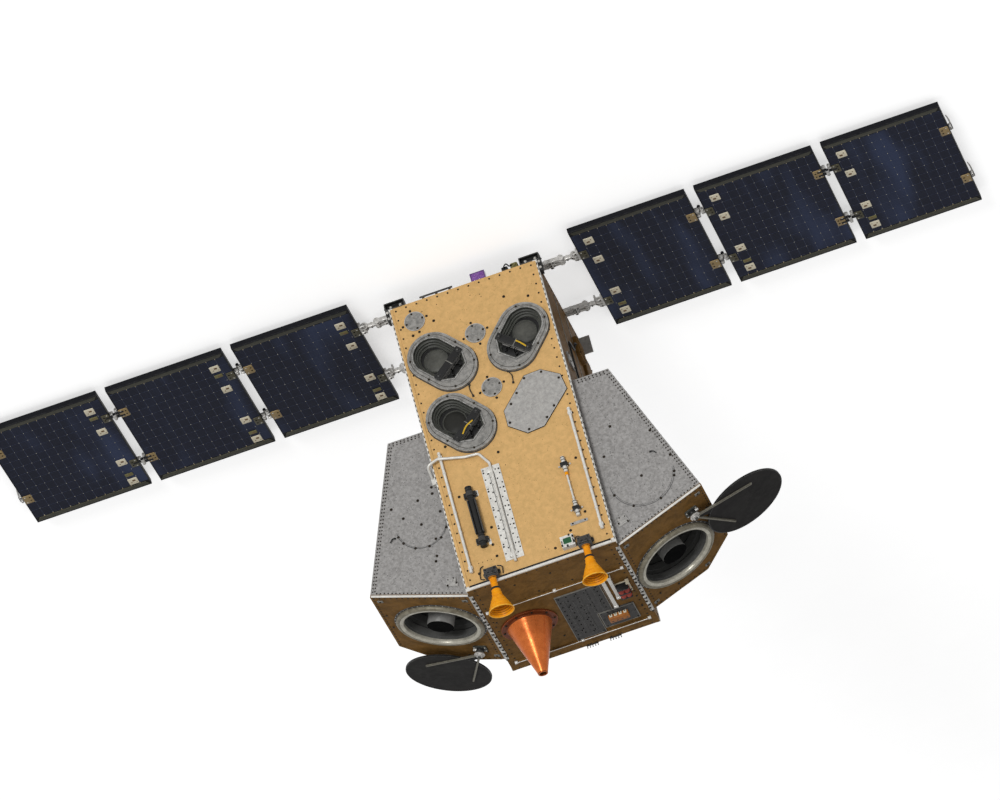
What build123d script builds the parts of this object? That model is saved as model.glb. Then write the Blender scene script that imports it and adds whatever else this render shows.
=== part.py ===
"""Earth-observation satellite: box bus on an adapter ring, two telescope pods, two folding solar wings.

Frame: millimetres, +Z up.  The origin is the centre of the adapter ring's lower face, where the
satellite is bolted down.  The bus front faces -Y, the wings run along X.  Side names are those seen
from the front with the satellite standing on its ring: "right" is +X and "left" is -X.
"""
import os
from math import atan2, cos, degrees, radians, sin, tan

from build123d import *

os.makedirs("parts", exist_ok=True)

# ---------------------------------------------------------------- driving sizes
# bus box
BUS_WIDTH = 670.0            # along X
BUS_DEPTH = 820.0            # along Y
BUS_HEIGHT = 1420.0          # along Z, without base frame and ring
PANEL_WALL = 20.0            # honeycomb wall thickness
ANGLE_LEG = 15.0             # leg of the corner angles
ANGLE_WALL = 2.5             # wall of the corner angles

# base frame and adapter ring
RING_HEIGHT = 84.0
RING_RADIUS = 178.0          # outer radius of the ring wall
RING_WALL = 12.0
FLANGE_WIDTH = 24.0          # how far each flange stands outside the ring wall
FLANGE_HEIGHT = 9.0
BOLT_CIRCLE = 381.0          # diameter through the ring's holes
BOLT_COUNT = 24
BOLT_HOLE = 7.0
FRAME_HEIGHT = 16.0          # base plate between ring and bus box
FRAME_INSET = 40.0           # base plate side, inside the bus side

# telescope pods
POD_TILT = 20.0              # pod axis leans outward from vertical
POD_END_LENGTH = 439.0       # end face, from bus side to outer edge
POD_BOTTOM = 590.0           # pod floor above the bus box's lower edge
POD_FRONT_SETBACK = 50.0     # pod front behind the bus front
POD_DEPTH = 645.0            # pod front to pod back
POD_CHAMFER = 150.0          # cut corner between outer wall and back wall
POD_WALL = 14.0

# telescopes
SCOPE_OUT = 197.0            # aperture centre from the bus side, along the end face
SCOPE_BACK = {"right": 277.0, "left": 362.0}   # aperture centre behind the pod front
SCOPE_BORE = 158.0           # inner radius of the barrel
SCOPE_WALL = 7.0
SCOPE_DEPTH = 470.0
SCOPE_FIT = 1.0              # barrel clear of its hole in the end panel
RIM_RADIUS = 190.0           # outer radius of the rounded rim
RIM_HEIGHT = 17.0
HUB_RADIUS = 57.0            # central baffle tube
HUB_WALL = 3.0
HUB_SET = 3.0                # hub mouth below the rim's foot
VANE_SET = 300.0             # vanes below the rim's foot
VANE_WALL = 3.0
VANE_HEIGHT = 46.0
MIRROR_WALL = 30.0
BARREL_FLOOR = 10.0
WINDOW_CLEARANCE = 12.0      # barrel clear of the window in the bus side
VANE_COUNT = 4
VANE_TURN = 20.0

# swinging covers
COVER_RADIUS = 187.0
COVER_WALL = 6.0
COVER_GAP = 8.0              # cover above the rim
PIVOT_OFFSET = {"right": (-113.0, 248.0), "left": (148.0, -230.0)}  # from aperture centre: out, back
OPEN_SWING = {"right": 112.0, "left": 87.0}    # from closed to the parked open place
PIVOT_RADIUS = 15.0
PIVOT_PIN = 7.0
PIVOT_CLEARANCE = 0.3
STRUT_RADIUS = 4.5
STRUT_LENGTH = 285.0
STRUT_SPREAD = 24.0          # each strut from the cover's centre line

# star trackers on the front: name, x, z, direction of the bar end from +X
TRACKERS = (
    ("a", 170.0, 330.0, 131.0),
    ("b", -172.0, 334.0, 49.0),
    ("c", 163.0, 642.0, 131.0),
)
TRACKER_RADIUS = 112.0       # end radius of the oval flange
TRACKER_STRAIGHT = 102.0     # straight stretch of the oval
TRACKER_RISE = 18.0          # flange proud of the front
TRACKER_WALL = 4.0
RECESS_RADIUS = 80.0         # round end of the recess, round its own centre
RECESS_CENTRE = -60.0        # along the long axis, from the tracker's middle
RECESS_SHOULDER = 46.0       # where the cut corners start
RECESS_END = 96.0            # flat end of the recess
RECESS_CUT = 40.0            # how far each cut corner comes in
RECESS_DEPTH = 36.0
LENS_CENTRE = -45.0
LENS_SEAT = 62.0             # radius of the round well in the recess floor
LENS_RADIUS = 55.0
LENS_DEPTH = 30.0
LENS_RISE = 6.0
BAR_FROM = 20.0              # bar across the recess, along the long axis
BAR_TO = 50.0
BAR_RISE = 8.0               # bar proud of the flange
BAR_HEIGHT = 22.0
END_PLATE_DEPTH = 12.0       # black plate behind the bar, below the front

# front face fittings; z counts up from the box's lower edge, a drop counts down from its top edge
DISC_PLATES = ((241.0, 95.0), (2.0, 246.0), (-4.0, 522.0))   # x, z
DISC_PLATE_RADIUS = 45.0
PLATE_RISE = 5.0
OCTAGON_PLATE = ((-225.0, 518.0), (-302.0, 570.0), (-313.0, 647.0), (-177.0, 784.0),
                 (-100.0, 790.0), (-26.0, 728.0), (-27.0, 653.0), (-150.0, 521.0))   # x, z
LONG_RODS = ((291.0, 748.0), (-297.0, 743.0))    # x, height of the lower end
LONG_ROD_DROP = 72.0         # drop of their upper ends
LONG_ROD_RADIUS = 6.0
ROD_STANDOFF = 15.0
STRIP_FROM = 55.0            # x
STRIP_WIDTH = 82.0
STRIP_GAP = 90.5             # strip above the last star tracker
STRIP_DROP = 76.0
STRIP_WALL = 4.0
PIPE_RADIUS = 6.0
PIPE_BEND = 20.0
PIPE_GAP = 2.0               # pipe clear of the strip and of the rod that it crosses
GLAND = (22.0, 22.0, 32.0)   # where the pipe leaves the side wall
GLAND_RISE = -38.0           # gland and route from the strip's lower end
GLAND_BACK = 31.0            # behind the front
TORQUE_ROD = (209.0, 466.0, 170.0)            # x, drop of the lower and upper end
TORQUE_ROD_RADIUS = 10.0
TORQUE_CAP = 14.0            # radius of its thicker ends
TORQUE_CAP_LENGTH = 70.0
TORQUE_CLAMP = (54.0, 22.0)
SENSOR_ROD = (-214.0, 460.0, 168.0)
SENSOR_ROD_RADIUS = 4.0
SENSOR_CAP = 9.0
SENSOR_CAP_LENGTH = 74.0
SENSOR_CLAMP = (30.0, 22.0)
WINDOW_BOX = (-141.0, 62.0, 58.0, 52.0, 30.0)  # x, drop, width, height, rise

# horns and cone on the top (nadir) face
HORNS = {"right": 209.0, "left": -211.0}      # x of each horn
HORN_OUT = 30.0              # horn axis in front of the front face
HORN_BRACKET = (58.0, 44.0, 44.0)
HORN_DROP = 10.0             # bracket's upper face below the box's top edge
HORN_WALL = 3.5
# horn outline: radius, height above the bracket
HORN_NECK = (13.0, 54.0)
HORN_JOINT = (18.0, 59.0)
HORN_SHOULDER = (23.0, 94.0)
HORN_COLLAR = (26.0, 97.0)
HORN_FLARE = (54.0, 161.0)
HORN_LIP = (56.5, 167.0)
CONE_PLACE = (169.0, 46.0)
CONE_FOOT = 124.0            # radius of its flange
CONE_FLANGE = 8.0
CONE_BASE = 100.0
CONE_TIP = 20.5
CONE_HEIGHT = 250.0
CONE_WALL = 4.0
CONE_SKIRT = 20.0            # wall thickness where the cone meets its flange

# top face fittings
RAIL_PLACES = (-174.0, 338.0)                 # y
RAIL_END = 25.0              # rails end this far inside the bus sides
RAIL_SECTION = (9.0, 8.0)
INSTRUMENT_PLATE = ((20.0, -104.0), (20.0, 326.0), (-112.0, 326.0), (-112.0, 152.0),
                    (-180.0, 152.0), (-180.0, -104.0))       # x, y
# each: node, x from, x to, y from, y to, height
TOP_BLOCKS = (
    ("connector_plate", -274.0, -116.0, 154.0, 297.0, 6.0),
    ("relay_coil", -291.0, -243.0, -40.0, 45.0, 30.0),
)
CONNECTOR_BLOCK = (-235.0, -149.0, 198.0, 238.0, 18.0)
TOP_BARS = ((-208.0, -192.0, -120.0, 148.0, 8.0), (-238.0, -224.0, -148.0, 60.0, 18.0))

# edge strips
TRIM_WIDTH = 9.0
TRIM_RISE = 3.0
FRONT_RAIL = (8.0, 10.0)     # bar along the front's top edge
SEAM_LEG = 13.0              # bent strips over the seams between top and pods, on the top face
SEAM_LIP = 4.0               # and on the pod
SEAM_WALL = 2.5

# base fittings
CORNER_GUARD = (90.0, 40.0, 34.0)
GUARD_OUT = 17.0             # guard past the bus side
GUARD_LEG = 56.0             # its leg up the side
GUARD_WALL = 4.0
GUARD_GAP = 0.5
REFLECTOR = (66.0, 34.0, 42.0)
REFLECTOR_X = -73.0
SIDE_PLATE = (50.0, 6.0, 84.0)
SIDE_PLATE_PLACE = (70.0, 60.0)               # in front of the back corner, above the box's lower edge

# solar wings
PANEL_LENGTH = 533.0         # along X
PANEL_WIDTH = 900.0          # along Y
PANEL_THICK = 22.0
PANEL_GAP = 42.0
WING_START = 167.0           # first panel from the bus side
WING_DROP = 62.0             # wing plane below the bus box
ROOT_HINGE_OUT = 85.0        # root hinge axis from the bus side
HINGE_OFFSET = 18.0          # panel hinge axis from the panel's middle plane
HINGE_PLACES = (-227.0, 227.0)
KNUCKLE_RADIUS = 7.0
KNUCKLE_LENGTH = 15.0
KNUCKLE_GAP = 1.0
HINGE_PIN = 2.5
HINGE_CLEARANCE = 0.3
LEAF_LENGTH = 44.0
LEAF_THICK = 4.0
ROOT_KNUCKLE = 12.0
ROOT_PIN = 5.0
ARM_HEIGHT = 17.0            # yoke arm, along Z
BRACKET_ARM = 19.0           # fixed arms, along Z
BRACKET_FOOT = (12.0, 75.0, 22.0)   # plate that carries the fixed arms; it reaches that far below them
FORK_PLATE = (10.0, 76.0)    # plate between yoke arm and panel
TIP_STUB = (16.0, 40.0, 8.0) # stub on the last panel's outer edge
PANELS_PER_WING = 3

# ---------------------------------------------------------------- places worked out
BOX_BOTTOM = RING_HEIGHT + FRAME_HEIGHT
BOX_TOP = BOX_BOTTOM + BUS_HEIGHT
HALF_W = BUS_WIDTH / 2
HALF_D = BUS_DEPTH / 2
FRONT = -HALF_D
WING_Z = BOX_BOTTOM - WING_DROP
SIDES = {"right": 1, "left": -1}
POD_FRONT = FRONT + POD_FRONT_SETBACK
POD_BACK = POD_FRONT + POD_DEPTH
POD_FLOOR = BOX_BOTTOM + POD_BOTTOM


def finish(builder, name):
    """Label a finished piece and write its STEP file."""
    builder.part.label = name
    export_step(builder.part, f"parts/{name}.step")


def end_plane(side):
    """Plane of a pod's end face: origin at the bus edge, x outward, y to the back, z outward normal."""
    tilt = radians(POD_TILT)
    out = Vector(side * cos(tilt), 0, -sin(tilt))
    normal = Vector(side * sin(tilt), 0, cos(tilt))
    return Plane(origin=(side * HALF_W, POD_FRONT, BOX_TOP), x_dir=out, z_dir=normal)


def on_end(side, out, back, up=0.0):
    """World point for a place on a pod's end face; back counts from the pod front on both sides."""
    tilt = radians(POD_TILT)
    return Vector(side * (HALF_W + out * cos(tilt) + up * sin(tilt)), POD_FRONT + back,
                  BOX_TOP - out * sin(tilt) + up * cos(tilt))


def scope_plane(name, up=0.0):
    """Plane across a telescope's aperture, at a height above the end face."""
    side = SIDES[name]
    plane = end_plane(side)
    return Plane(origin=on_end(side, SCOPE_OUT, SCOPE_BACK[name], up), x_dir=plane.x_dir,
                 z_dir=plane.z_dir)


# ---------------------------------------------------------------- adapter ring
flange_radius = RING_RADIUS + FLANGE_WIDTH
with BuildPart() as adapter_ring:
    with BuildSketch(Plane.XZ) as ring_section:
        with BuildLine():
            Polyline(
                (RING_RADIUS - RING_WALL, 0), (flange_radius, 0), (flange_radius, FLANGE_HEIGHT),
                (RING_RADIUS, FLANGE_HEIGHT), (RING_RADIUS, RING_HEIGHT - FLANGE_HEIGHT),
                (flange_radius, RING_HEIGHT - FLANGE_HEIGHT), (flange_radius, RING_HEIGHT),
                (RING_RADIUS - RING_WALL, RING_HEIGHT), close=True,
            )
        make_face()
    revolve(axis=Axis.Z)
    with Locations((0, 0, FLANGE_HEIGHT)):
        with PolarLocations(BOLT_CIRCLE / 2, BOLT_COUNT):
            Hole(BOLT_HOLE / 2, depth=FLANGE_HEIGHT)
finish(adapter_ring, "adapter_ring")

# ---------------------------------------------------------------- base plate
frame_w = BUS_WIDTH - 2 * FRAME_INSET
frame_d = BUS_DEPTH - 2 * FRAME_INSET
with BuildPart() as base_frame:
    with BuildSketch(Plane.XY.offset(RING_HEIGHT)):
        Rectangle(frame_w, frame_d)
        Circle(RING_RADIUS - RING_WALL, mode=Mode.SUBTRACT)
    extrude(amount=FRAME_HEIGHT)
finish(base_frame, "base_frame")

# ---------------------------------------------------------------- bus walls
with BuildPart() as bus_floor:
    with BuildSketch(Plane.XY.offset(BOX_BOTTOM)):
        Rectangle(BUS_WIDTH - 2 * PANEL_WALL, BUS_DEPTH - 2 * PANEL_WALL)
    extrude(amount=PANEL_WALL)
finish(bus_floor, "bus_floor")

with BuildPart() as top_panel:
    with BuildSketch(Plane.XY.offset(BOX_TOP - PANEL_WALL)):
        Rectangle(BUS_WIDTH - 2 * PANEL_WALL, BUS_DEPTH - 2 * PANEL_WALL)
    extrude(amount=PANEL_WALL)
finish(top_panel, "top_panel")

front_out = Plane(origin=(0, FRONT, BOX_BOTTOM), x_dir=(1, 0, 0), z_dir=(0, -1, 0))


def tracker_plane(place_x, place_z, turn, up=0.0):
    """Plane on a star tracker's middle, its x axis towards the bar end, its z axis out of the front."""
    along = Vector(cos(radians(turn)), 0, sin(radians(turn)))
    return Plane(origin=(place_x, FRONT - up, BOX_BOTTOM + place_z), x_dir=along, z_dir=(0, -1, 0))


def recess_face(grow):
    """Recess outline in a tracker's plane: round at the lens end, corners cut at the bar end."""
    half = RECESS_RADIUS + grow
    end = RECESS_END + grow
    with BuildSketch() as outline:
        with BuildLine():
            Polyline((RECESS_CENTRE, -half), (RECESS_SHOULDER, -half), (end, RECESS_CUT - half),
                     (end, half - RECESS_CUT), (RECESS_SHOULDER, half), (RECESS_CENTRE, half))
            ThreePointArc((RECESS_CENTRE, half), (RECESS_CENTRE - half, 0), (RECESS_CENTRE, -half))
        make_face()
    return outline.sketch


with BuildPart() as front_panel:
    with BuildSketch(front_out):
        with Locations((0, BUS_HEIGHT / 2)):
            Rectangle(BUS_WIDTH, BUS_HEIGHT)
    extrude(amount=-PANEL_WALL)
    for _, place_x, place_z, turn in TRACKERS:
        with BuildSketch(tracker_plane(place_x, place_z, turn)):
            add(recess_face(TRACKER_WALL + SCOPE_FIT))
        extrude(amount=-PANEL_WALL, mode=Mode.SUBTRACT)
finish(front_panel, "front_panel")

with BuildPart() as back_panel:
    with BuildSketch(Plane.XZ.offset(-HALF_D)):
        with Locations((0, BOX_BOTTOM + BUS_HEIGHT / 2)):
            Rectangle(BUS_WIDTH, BUS_HEIGHT)
    extrude(amount=PANEL_WALL)
finish(back_panel, "back_panel")

# Each side wall has a window behind its pod, where the leaning barrel passes into the bus.
tube_outer = SCOPE_BORE + SCOPE_WALL
window_half = tube_outer + WINDOW_CLEARANCE
barrel_reach = (SCOPE_OUT + tube_outer) * sin(radians(POD_TILT))
barrel_reach += (SCOPE_DEPTH + BARREL_FLOOR) * cos(radians(POD_TILT))
window_low = BUS_HEIGHT - barrel_reach - WINDOW_CLEARANCE
for name, side in SIDES.items():
    with BuildPart() as side_panel:
        with BuildSketch(Plane(origin=(side * HALF_W, 0, BOX_BOTTOM), x_dir=(0, 1, 0), z_dir=(1, 0, 0))):
            with Locations((0, BUS_HEIGHT / 2)):
                Rectangle(BUS_DEPTH - 2 * PANEL_WALL, BUS_HEIGHT)
            with Locations((POD_FRONT + SCOPE_BACK[name], (window_low + BUS_HEIGHT) / 2)):
                Rectangle(2 * window_half, BUS_HEIGHT - window_low, mode=Mode.SUBTRACT)
        extrude(amount=-side * PANEL_WALL)
    finish(side_panel, f"side_panel_{name}")

# ---------------------------------------------------------------- corner angles
with BuildPart() as corner_angles:
    for side in SIDES.values():
        for end in (-1, 1):
            with BuildSketch(Plane.XY.offset(BOX_BOTTOM)):
                with Locations((side * (HALF_W - ANGLE_LEG / 2 + ANGLE_WALL / 2),
                                end * (HALF_D + ANGLE_WALL / 2))):
                    Rectangle(ANGLE_LEG + ANGLE_WALL, ANGLE_WALL)
                with Locations((side * (HALF_W + ANGLE_WALL / 2),
                                end * (HALF_D - ANGLE_LEG / 2 + ANGLE_WALL / 2))):
                    Rectangle(ANGLE_WALL, ANGLE_LEG + ANGLE_WALL)
            extrude(amount=BUS_HEIGHT)
finish(corner_angles, "corner_angles")

# ---------------------------------------------------------------- pods
pod_tilt = radians(POD_TILT)
pod_length = BUS_HEIGHT                       # longer than the pod, trimmed by the floor plane


def pod_outline(side, inset):
    """End-face outline of a pod, moved inward by inset, in the end plane's own x and y."""
    far = POD_END_LENGTH - inset
    back = POD_DEPTH - inset
    cut = POD_CHAMFER - inset * (2 - 2 ** 0.5)
    points = ((-POD_CHAMFER, inset), (far, inset), (far, back - cut), (far - cut, back),
              (-POD_CHAMFER, back))
    return [(out, side * across) for out, across in points]


def pod_block(side, inset, floor, top_drop):
    """Solid of a pod's outer shape, or with an inset of its hollow, above a floor height."""
    with BuildPart(mode=Mode.PRIVATE) as block:
        with BuildSketch(end_plane(side).offset(-top_drop)):
            with BuildLine():
                Polyline(*pod_outline(side, inset), close=True)
            make_face()
        extrude(amount=-pod_length)
        with Locations((side * (HALF_W + BUS_WIDTH), 0, floor + BUS_HEIGHT)):
            Box(2 * BUS_WIDTH, 2 * BUS_DEPTH, 2 * BUS_HEIGHT, mode=Mode.INTERSECT)
    return block.part


for name, side in SIDES.items():
    outer = pod_block(side, 0, POD_FLOOR, 0)
    under_end = pod_block(side, 0, POD_FLOOR, POD_WALL)
    hollow = pod_block(side, POD_WALL, POD_FLOOR + POD_WALL, POD_WALL)
    aperture = scope_plane(name)
    with BuildPart() as pod_end:
        add(outer - under_end)
        with BuildSketch(aperture):
            Circle(SCOPE_BORE + SCOPE_WALL + SCOPE_FIT)
        extrude(amount=-2 * POD_WALL, mode=Mode.SUBTRACT)
    finish(pod_end, f"pod_end_{name}")
    with BuildPart() as pod_front:
        add(under_end)
        with Locations((side * HALF_W, POD_FRONT + POD_WALL / 2, BOX_TOP)):
            Box(4 * BUS_WIDTH, POD_WALL, 4 * BUS_HEIGHT, mode=Mode.INTERSECT)
    finish(pod_front, f"pod_front_{name}")
    with BuildPart() as pod_shell:
        add(under_end - hollow)
        with Locations((side * HALF_W, POD_FRONT + POD_WALL / 2, BOX_TOP)):
            Box(4 * BUS_WIDTH, POD_WALL, 4 * BUS_HEIGHT, mode=Mode.SUBTRACT)
    finish(pod_shell, f"pod_shell_{name}")

    # barrel: rounded rim outside, tube and floor inside
    with BuildPart() as barrel:
        with BuildSketch(aperture):
            Circle(RIM_RADIUS)
            Circle(SCOPE_BORE, mode=Mode.SUBTRACT)
        extrude(amount=RIM_HEIGHT)
        rim_face = barrel.faces().sort_by(Axis(aperture.origin, aperture.z_dir))[-1]
        fillet(rim_face.edges(), RIM_HEIGHT / 2)
        with BuildSketch(aperture):
            Circle(tube_outer)
            Circle(SCOPE_BORE, mode=Mode.SUBTRACT)
        extrude(amount=-SCOPE_DEPTH)
        with BuildSketch(aperture.offset(-SCOPE_DEPTH)):
            Circle(tube_outer)
        extrude(amount=-BARREL_FLOOR)
    finish(barrel, f"telescope_barrel_{name}")

    # optics: mirror on the barrel floor, central tube, vanes that hold the tube
    with BuildPart() as optics:
        with BuildSketch(aperture.offset(-SCOPE_DEPTH)):
            Circle(SCOPE_BORE - SCOPE_FIT)
        extrude(amount=MIRROR_WALL)
        with BuildSketch(aperture.offset(-SCOPE_DEPTH + MIRROR_WALL)):
            Circle(HUB_RADIUS)
            Circle(HUB_RADIUS - HUB_WALL, mode=Mode.SUBTRACT)
        extrude(amount=SCOPE_DEPTH - MIRROR_WALL - HUB_SET)
        with BuildSketch(aperture.offset(-VANE_SET - VANE_HEIGHT)):
            with PolarLocations((HUB_RADIUS + SCOPE_BORE) / 2, VANE_COUNT, start_angle=VANE_TURN):
                Rectangle(SCOPE_BORE - HUB_RADIUS + HUB_WALL, VANE_WALL)
            Circle(HUB_RADIUS - HUB_WALL / 2, mode=Mode.SUBTRACT)
        extrude(amount=VANE_HEIGHT)
        with BuildSketch(aperture.offset(-SCOPE_DEPTH)):
            Circle(SCOPE_BORE)
        extrude(amount=SCOPE_DEPTH, mode=Mode.INTERSECT)
    finish(optics, f"telescope_optics_{name}")

    # swinging cover: fixed pivot post, then disc with its two struts
    pivot_out = SCOPE_OUT + PIVOT_OFFSET[name][0]
    pivot_back = SCOPE_BACK[name] + PIVOT_OFFSET[name][1]
    cover_up = RIM_HEIGHT + COVER_GAP
    pivot = Plane(origin=on_end(side, pivot_out, pivot_back), x_dir=aperture.x_dir,
                  z_dir=aperture.z_dir)
    with BuildPart() as cover_post:
        with BuildSketch(pivot):
            RectangleRounded(4 * PIVOT_RADIUS, 3 * PIVOT_RADIUS, PIVOT_RADIUS / 2)
        extrude(amount=PIVOT_RADIUS / 2)
        with BuildSketch(pivot):
            Circle(PIVOT_RADIUS)
        extrude(amount=cover_up - PIVOT_CLEARANCE)
        with BuildSketch(pivot):
            Circle(PIVOT_PIN)
        extrude(amount=cover_up + 4 * COVER_WALL)
    finish(cover_post, f"cover_post_{name}")

    reach = (PIVOT_OFFSET[name][0] ** 2 + PIVOT_OFFSET[name][1] ** 2) ** 0.5
    closed_angle = degrees(atan2(-PIVOT_OFFSET[name][1] * side, -PIVOT_OFFSET[name][0]))
    open_angle = closed_angle + OPEN_SWING[name]
    with BuildPart() as cover:
        with BuildSketch(pivot.offset(cover_up)):
            with PolarLocations(reach, 1, start_angle=open_angle):
                Circle(COVER_RADIUS)
            Circle(PIVOT_RADIUS)
            with PolarLocations(reach / 4, 1, start_angle=open_angle):
                Rectangle(reach / 2, 2 * PIVOT_RADIUS)
        extrude(amount=COVER_WALL)
        with BuildSketch(pivot.offset(cover_up)):
            Circle(PIVOT_RADIUS)
        extrude(amount=3 * COVER_WALL)
        with BuildSketch(pivot.offset(cover_up + COVER_WALL - STRUT_RADIUS / 2)):
            for spread in (-STRUT_SPREAD, STRUT_SPREAD):
                with PolarLocations(STRUT_LENGTH / 2, 1, start_angle=open_angle + spread):
                    Rectangle(STRUT_LENGTH, 2 * STRUT_RADIUS)
        extrude(amount=2 * STRUT_RADIUS)
        with BuildSketch(pivot):
            Circle(PIVOT_PIN + PIVOT_CLEARANCE)
        extrude(amount=cover_up + 5 * COVER_WALL, mode=Mode.SUBTRACT)
    finish(cover, f"cover_{name}")

# ---------------------------------------------------------------- star trackers
for tag, place_x, place_z, turn in TRACKERS:
    floor_up = -RECESS_DEPTH
    well_up = floor_up - LENS_DEPTH
    with BuildPart() as tracker:
        with BuildSketch(tracker_plane(place_x, place_z, turn)):
            SlotCenterToCenter(TRACKER_STRAIGHT, 2 * TRACKER_RADIUS)
            add(recess_face(0), mode=Mode.SUBTRACT)
        extrude(amount=TRACKER_RISE)
        with BuildSketch(tracker_plane(place_x, place_z, turn)):
            add(recess_face(TRACKER_WALL))
            add(recess_face(0), mode=Mode.SUBTRACT)
        extrude(amount=-RECESS_DEPTH)
        with BuildSketch(tracker_plane(place_x, place_z, turn, floor_up)):
            add(recess_face(TRACKER_WALL))
            with Locations((LENS_CENTRE, 0)):
                Circle(LENS_SEAT, mode=Mode.SUBTRACT)
        extrude(amount=-TRACKER_WALL)
        with BuildSketch(tracker_plane(place_x, place_z, turn, floor_up)):
            with Locations((LENS_CENTRE, 0)):
                Circle(LENS_SEAT + TRACKER_WALL)
                Circle(LENS_SEAT, mode=Mode.SUBTRACT)
        extrude(amount=-LENS_DEPTH)
        with BuildSketch(tracker_plane(place_x, place_z, turn, well_up)):
            with Locations((LENS_CENTRE, 0)):
                Circle(LENS_SEAT + TRACKER_WALL)
        extrude(amount=-TRACKER_WALL)
        with BuildSketch(tracker_plane(place_x, place_z, turn, well_up)):
            with Locations((LENS_CENTRE, 0)):
                Circle(LENS_RADIUS)
        extrude(amount=LENS_RISE)
        # bar across the recess, and the plate between the bar and the recess end
        with BuildSketch(tracker_plane(place_x, place_z, turn, TRACKER_RISE + BAR_RISE)):
            with Locations(((BAR_FROM + BAR_TO) / 2, 0)):
                Rectangle(BAR_TO - BAR_FROM, 2 * (RECESS_RADIUS + TRACKER_WALL))
        extrude(amount=-BAR_HEIGHT)
        with BuildSketch(tracker_plane(place_x, place_z, turn, -END_PLATE_DEPTH)):
            add(recess_face(TRACKER_WALL / 2))
            with Locations(((BAR_FROM + RECESS_CENTRE - 2 * RECESS_RADIUS) / 2, 0)):
                Rectangle(BAR_FROM - RECESS_CENTRE + 2 * RECESS_RADIUS, 4 * RECESS_RADIUS,
                          mode=Mode.SUBTRACT)
        extrude(amount=-TRACKER_WALL)
    finish(tracker, f"star_tracker_{tag}")

# ---------------------------------------------------------------- front face fittings
with BuildPart() as disc_plates:
    with BuildSketch(front_out):
        with Locations(*DISC_PLATES):
            Circle(DISC_PLATE_RADIUS)
    extrude(amount=PLATE_RISE)
finish(disc_plates, "disc_plates")

with BuildPart() as octagon_plate:
    with BuildSketch(front_out):
        with BuildLine():
            Polyline(*OCTAGON_PLATE, close=True)
        make_face()
    extrude(amount=PLATE_RISE)
finish(octagon_plate, "octagon_plate")


def upright(place_x, out, low_drop, high_drop, radius):
    """Round bar along Z in front of the front face, between two drops below the top edge."""
    with Locations((place_x, FRONT - out, BOX_TOP - (low_drop + high_drop) / 2)):
        Cylinder(radius, low_drop - high_drop)


def clamp(place_x, drop, width, height, reach):
    """Block on the front face, centred on a place below the top edge."""
    with Locations((place_x, FRONT - reach / 2, BOX_TOP - drop)):
        Box(width, reach, height)


with BuildPart() as long_rods:
    for place_x, low_height in LONG_RODS:
        low_drop = BUS_HEIGHT - low_height
        upright(place_x, ROD_STANDOFF, low_drop, LONG_ROD_DROP, LONG_ROD_RADIUS)
        for clip_drop in (low_drop - 4 * LONG_ROD_RADIUS, LONG_ROD_DROP + 4 * LONG_ROD_RADIUS):
            clamp(place_x, clip_drop, 3 * LONG_ROD_RADIUS, 2.5 * LONG_ROD_RADIUS, ROD_STANDOFF)
finish(long_rods, "long_rods")


def capped_rod(rod, radius, cap, cap_length, clamp_size):
    """Rod with a thicker cap at either end, each cap held on the front face by a clamp."""
    place_x, low_drop, high_drop = rod
    out = cap + PLATE_RISE
    upright(place_x, out, low_drop, high_drop, radius)
    upright(place_x, out, low_drop, low_drop - cap_length, cap)
    upright(place_x, out, high_drop + cap_length, high_drop, cap)
    for clamp_drop in (low_drop - cap_length / 2, high_drop + cap_length / 2):
        clamp(place_x, clamp_drop, clamp_size[0], clamp_size[1], out)


with BuildPart() as torque_rod:
    capped_rod(TORQUE_ROD, TORQUE_ROD_RADIUS, TORQUE_CAP, TORQUE_CAP_LENGTH, TORQUE_CLAMP)
finish(torque_rod, "torque_rod")

with BuildPart() as sensor_rod:
    capped_rod(SENSOR_ROD, SENSOR_ROD_RADIUS, SENSOR_CAP, SENSOR_CAP_LENGTH, SENSOR_CLAMP)
finish(sensor_rod, "sensor_rod")

_, _, last_z, last_turn = TRACKERS[-1]
last_top = last_z + TRACKER_STRAIGHT / 2 * sin(radians(last_turn)) + TRACKER_RADIUS
strip_low = BOX_BOTTOM + last_top + STRIP_GAP
strip_high = BOX_TOP - STRIP_DROP
strip_middle = STRIP_FROM + STRIP_WIDTH / 2
with BuildPart() as perforated_strip:
    with Locations((strip_middle, FRONT - STRIP_WALL / 2, (strip_low + strip_high) / 2)):
        Box(STRIP_WIDTH, STRIP_WALL, strip_high - strip_low)
finish(perforated_strip, "perforated_strip")

# feed pipe: out of a gland on the right side wall, over the rod, then down and along the strip
pipe_low = FRONT - STRIP_WALL - PIPE_GAP - PIPE_RADIUS
pipe_over_rod = FRONT - ROD_STANDOFF - LONG_ROD_RADIUS - PIPE_GAP - PIPE_RADIUS
pipe_start = (HALF_W + GLAND[0] - PIPE_RADIUS, FRONT + GLAND_BACK, strip_low + GLAND_RISE)
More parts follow.
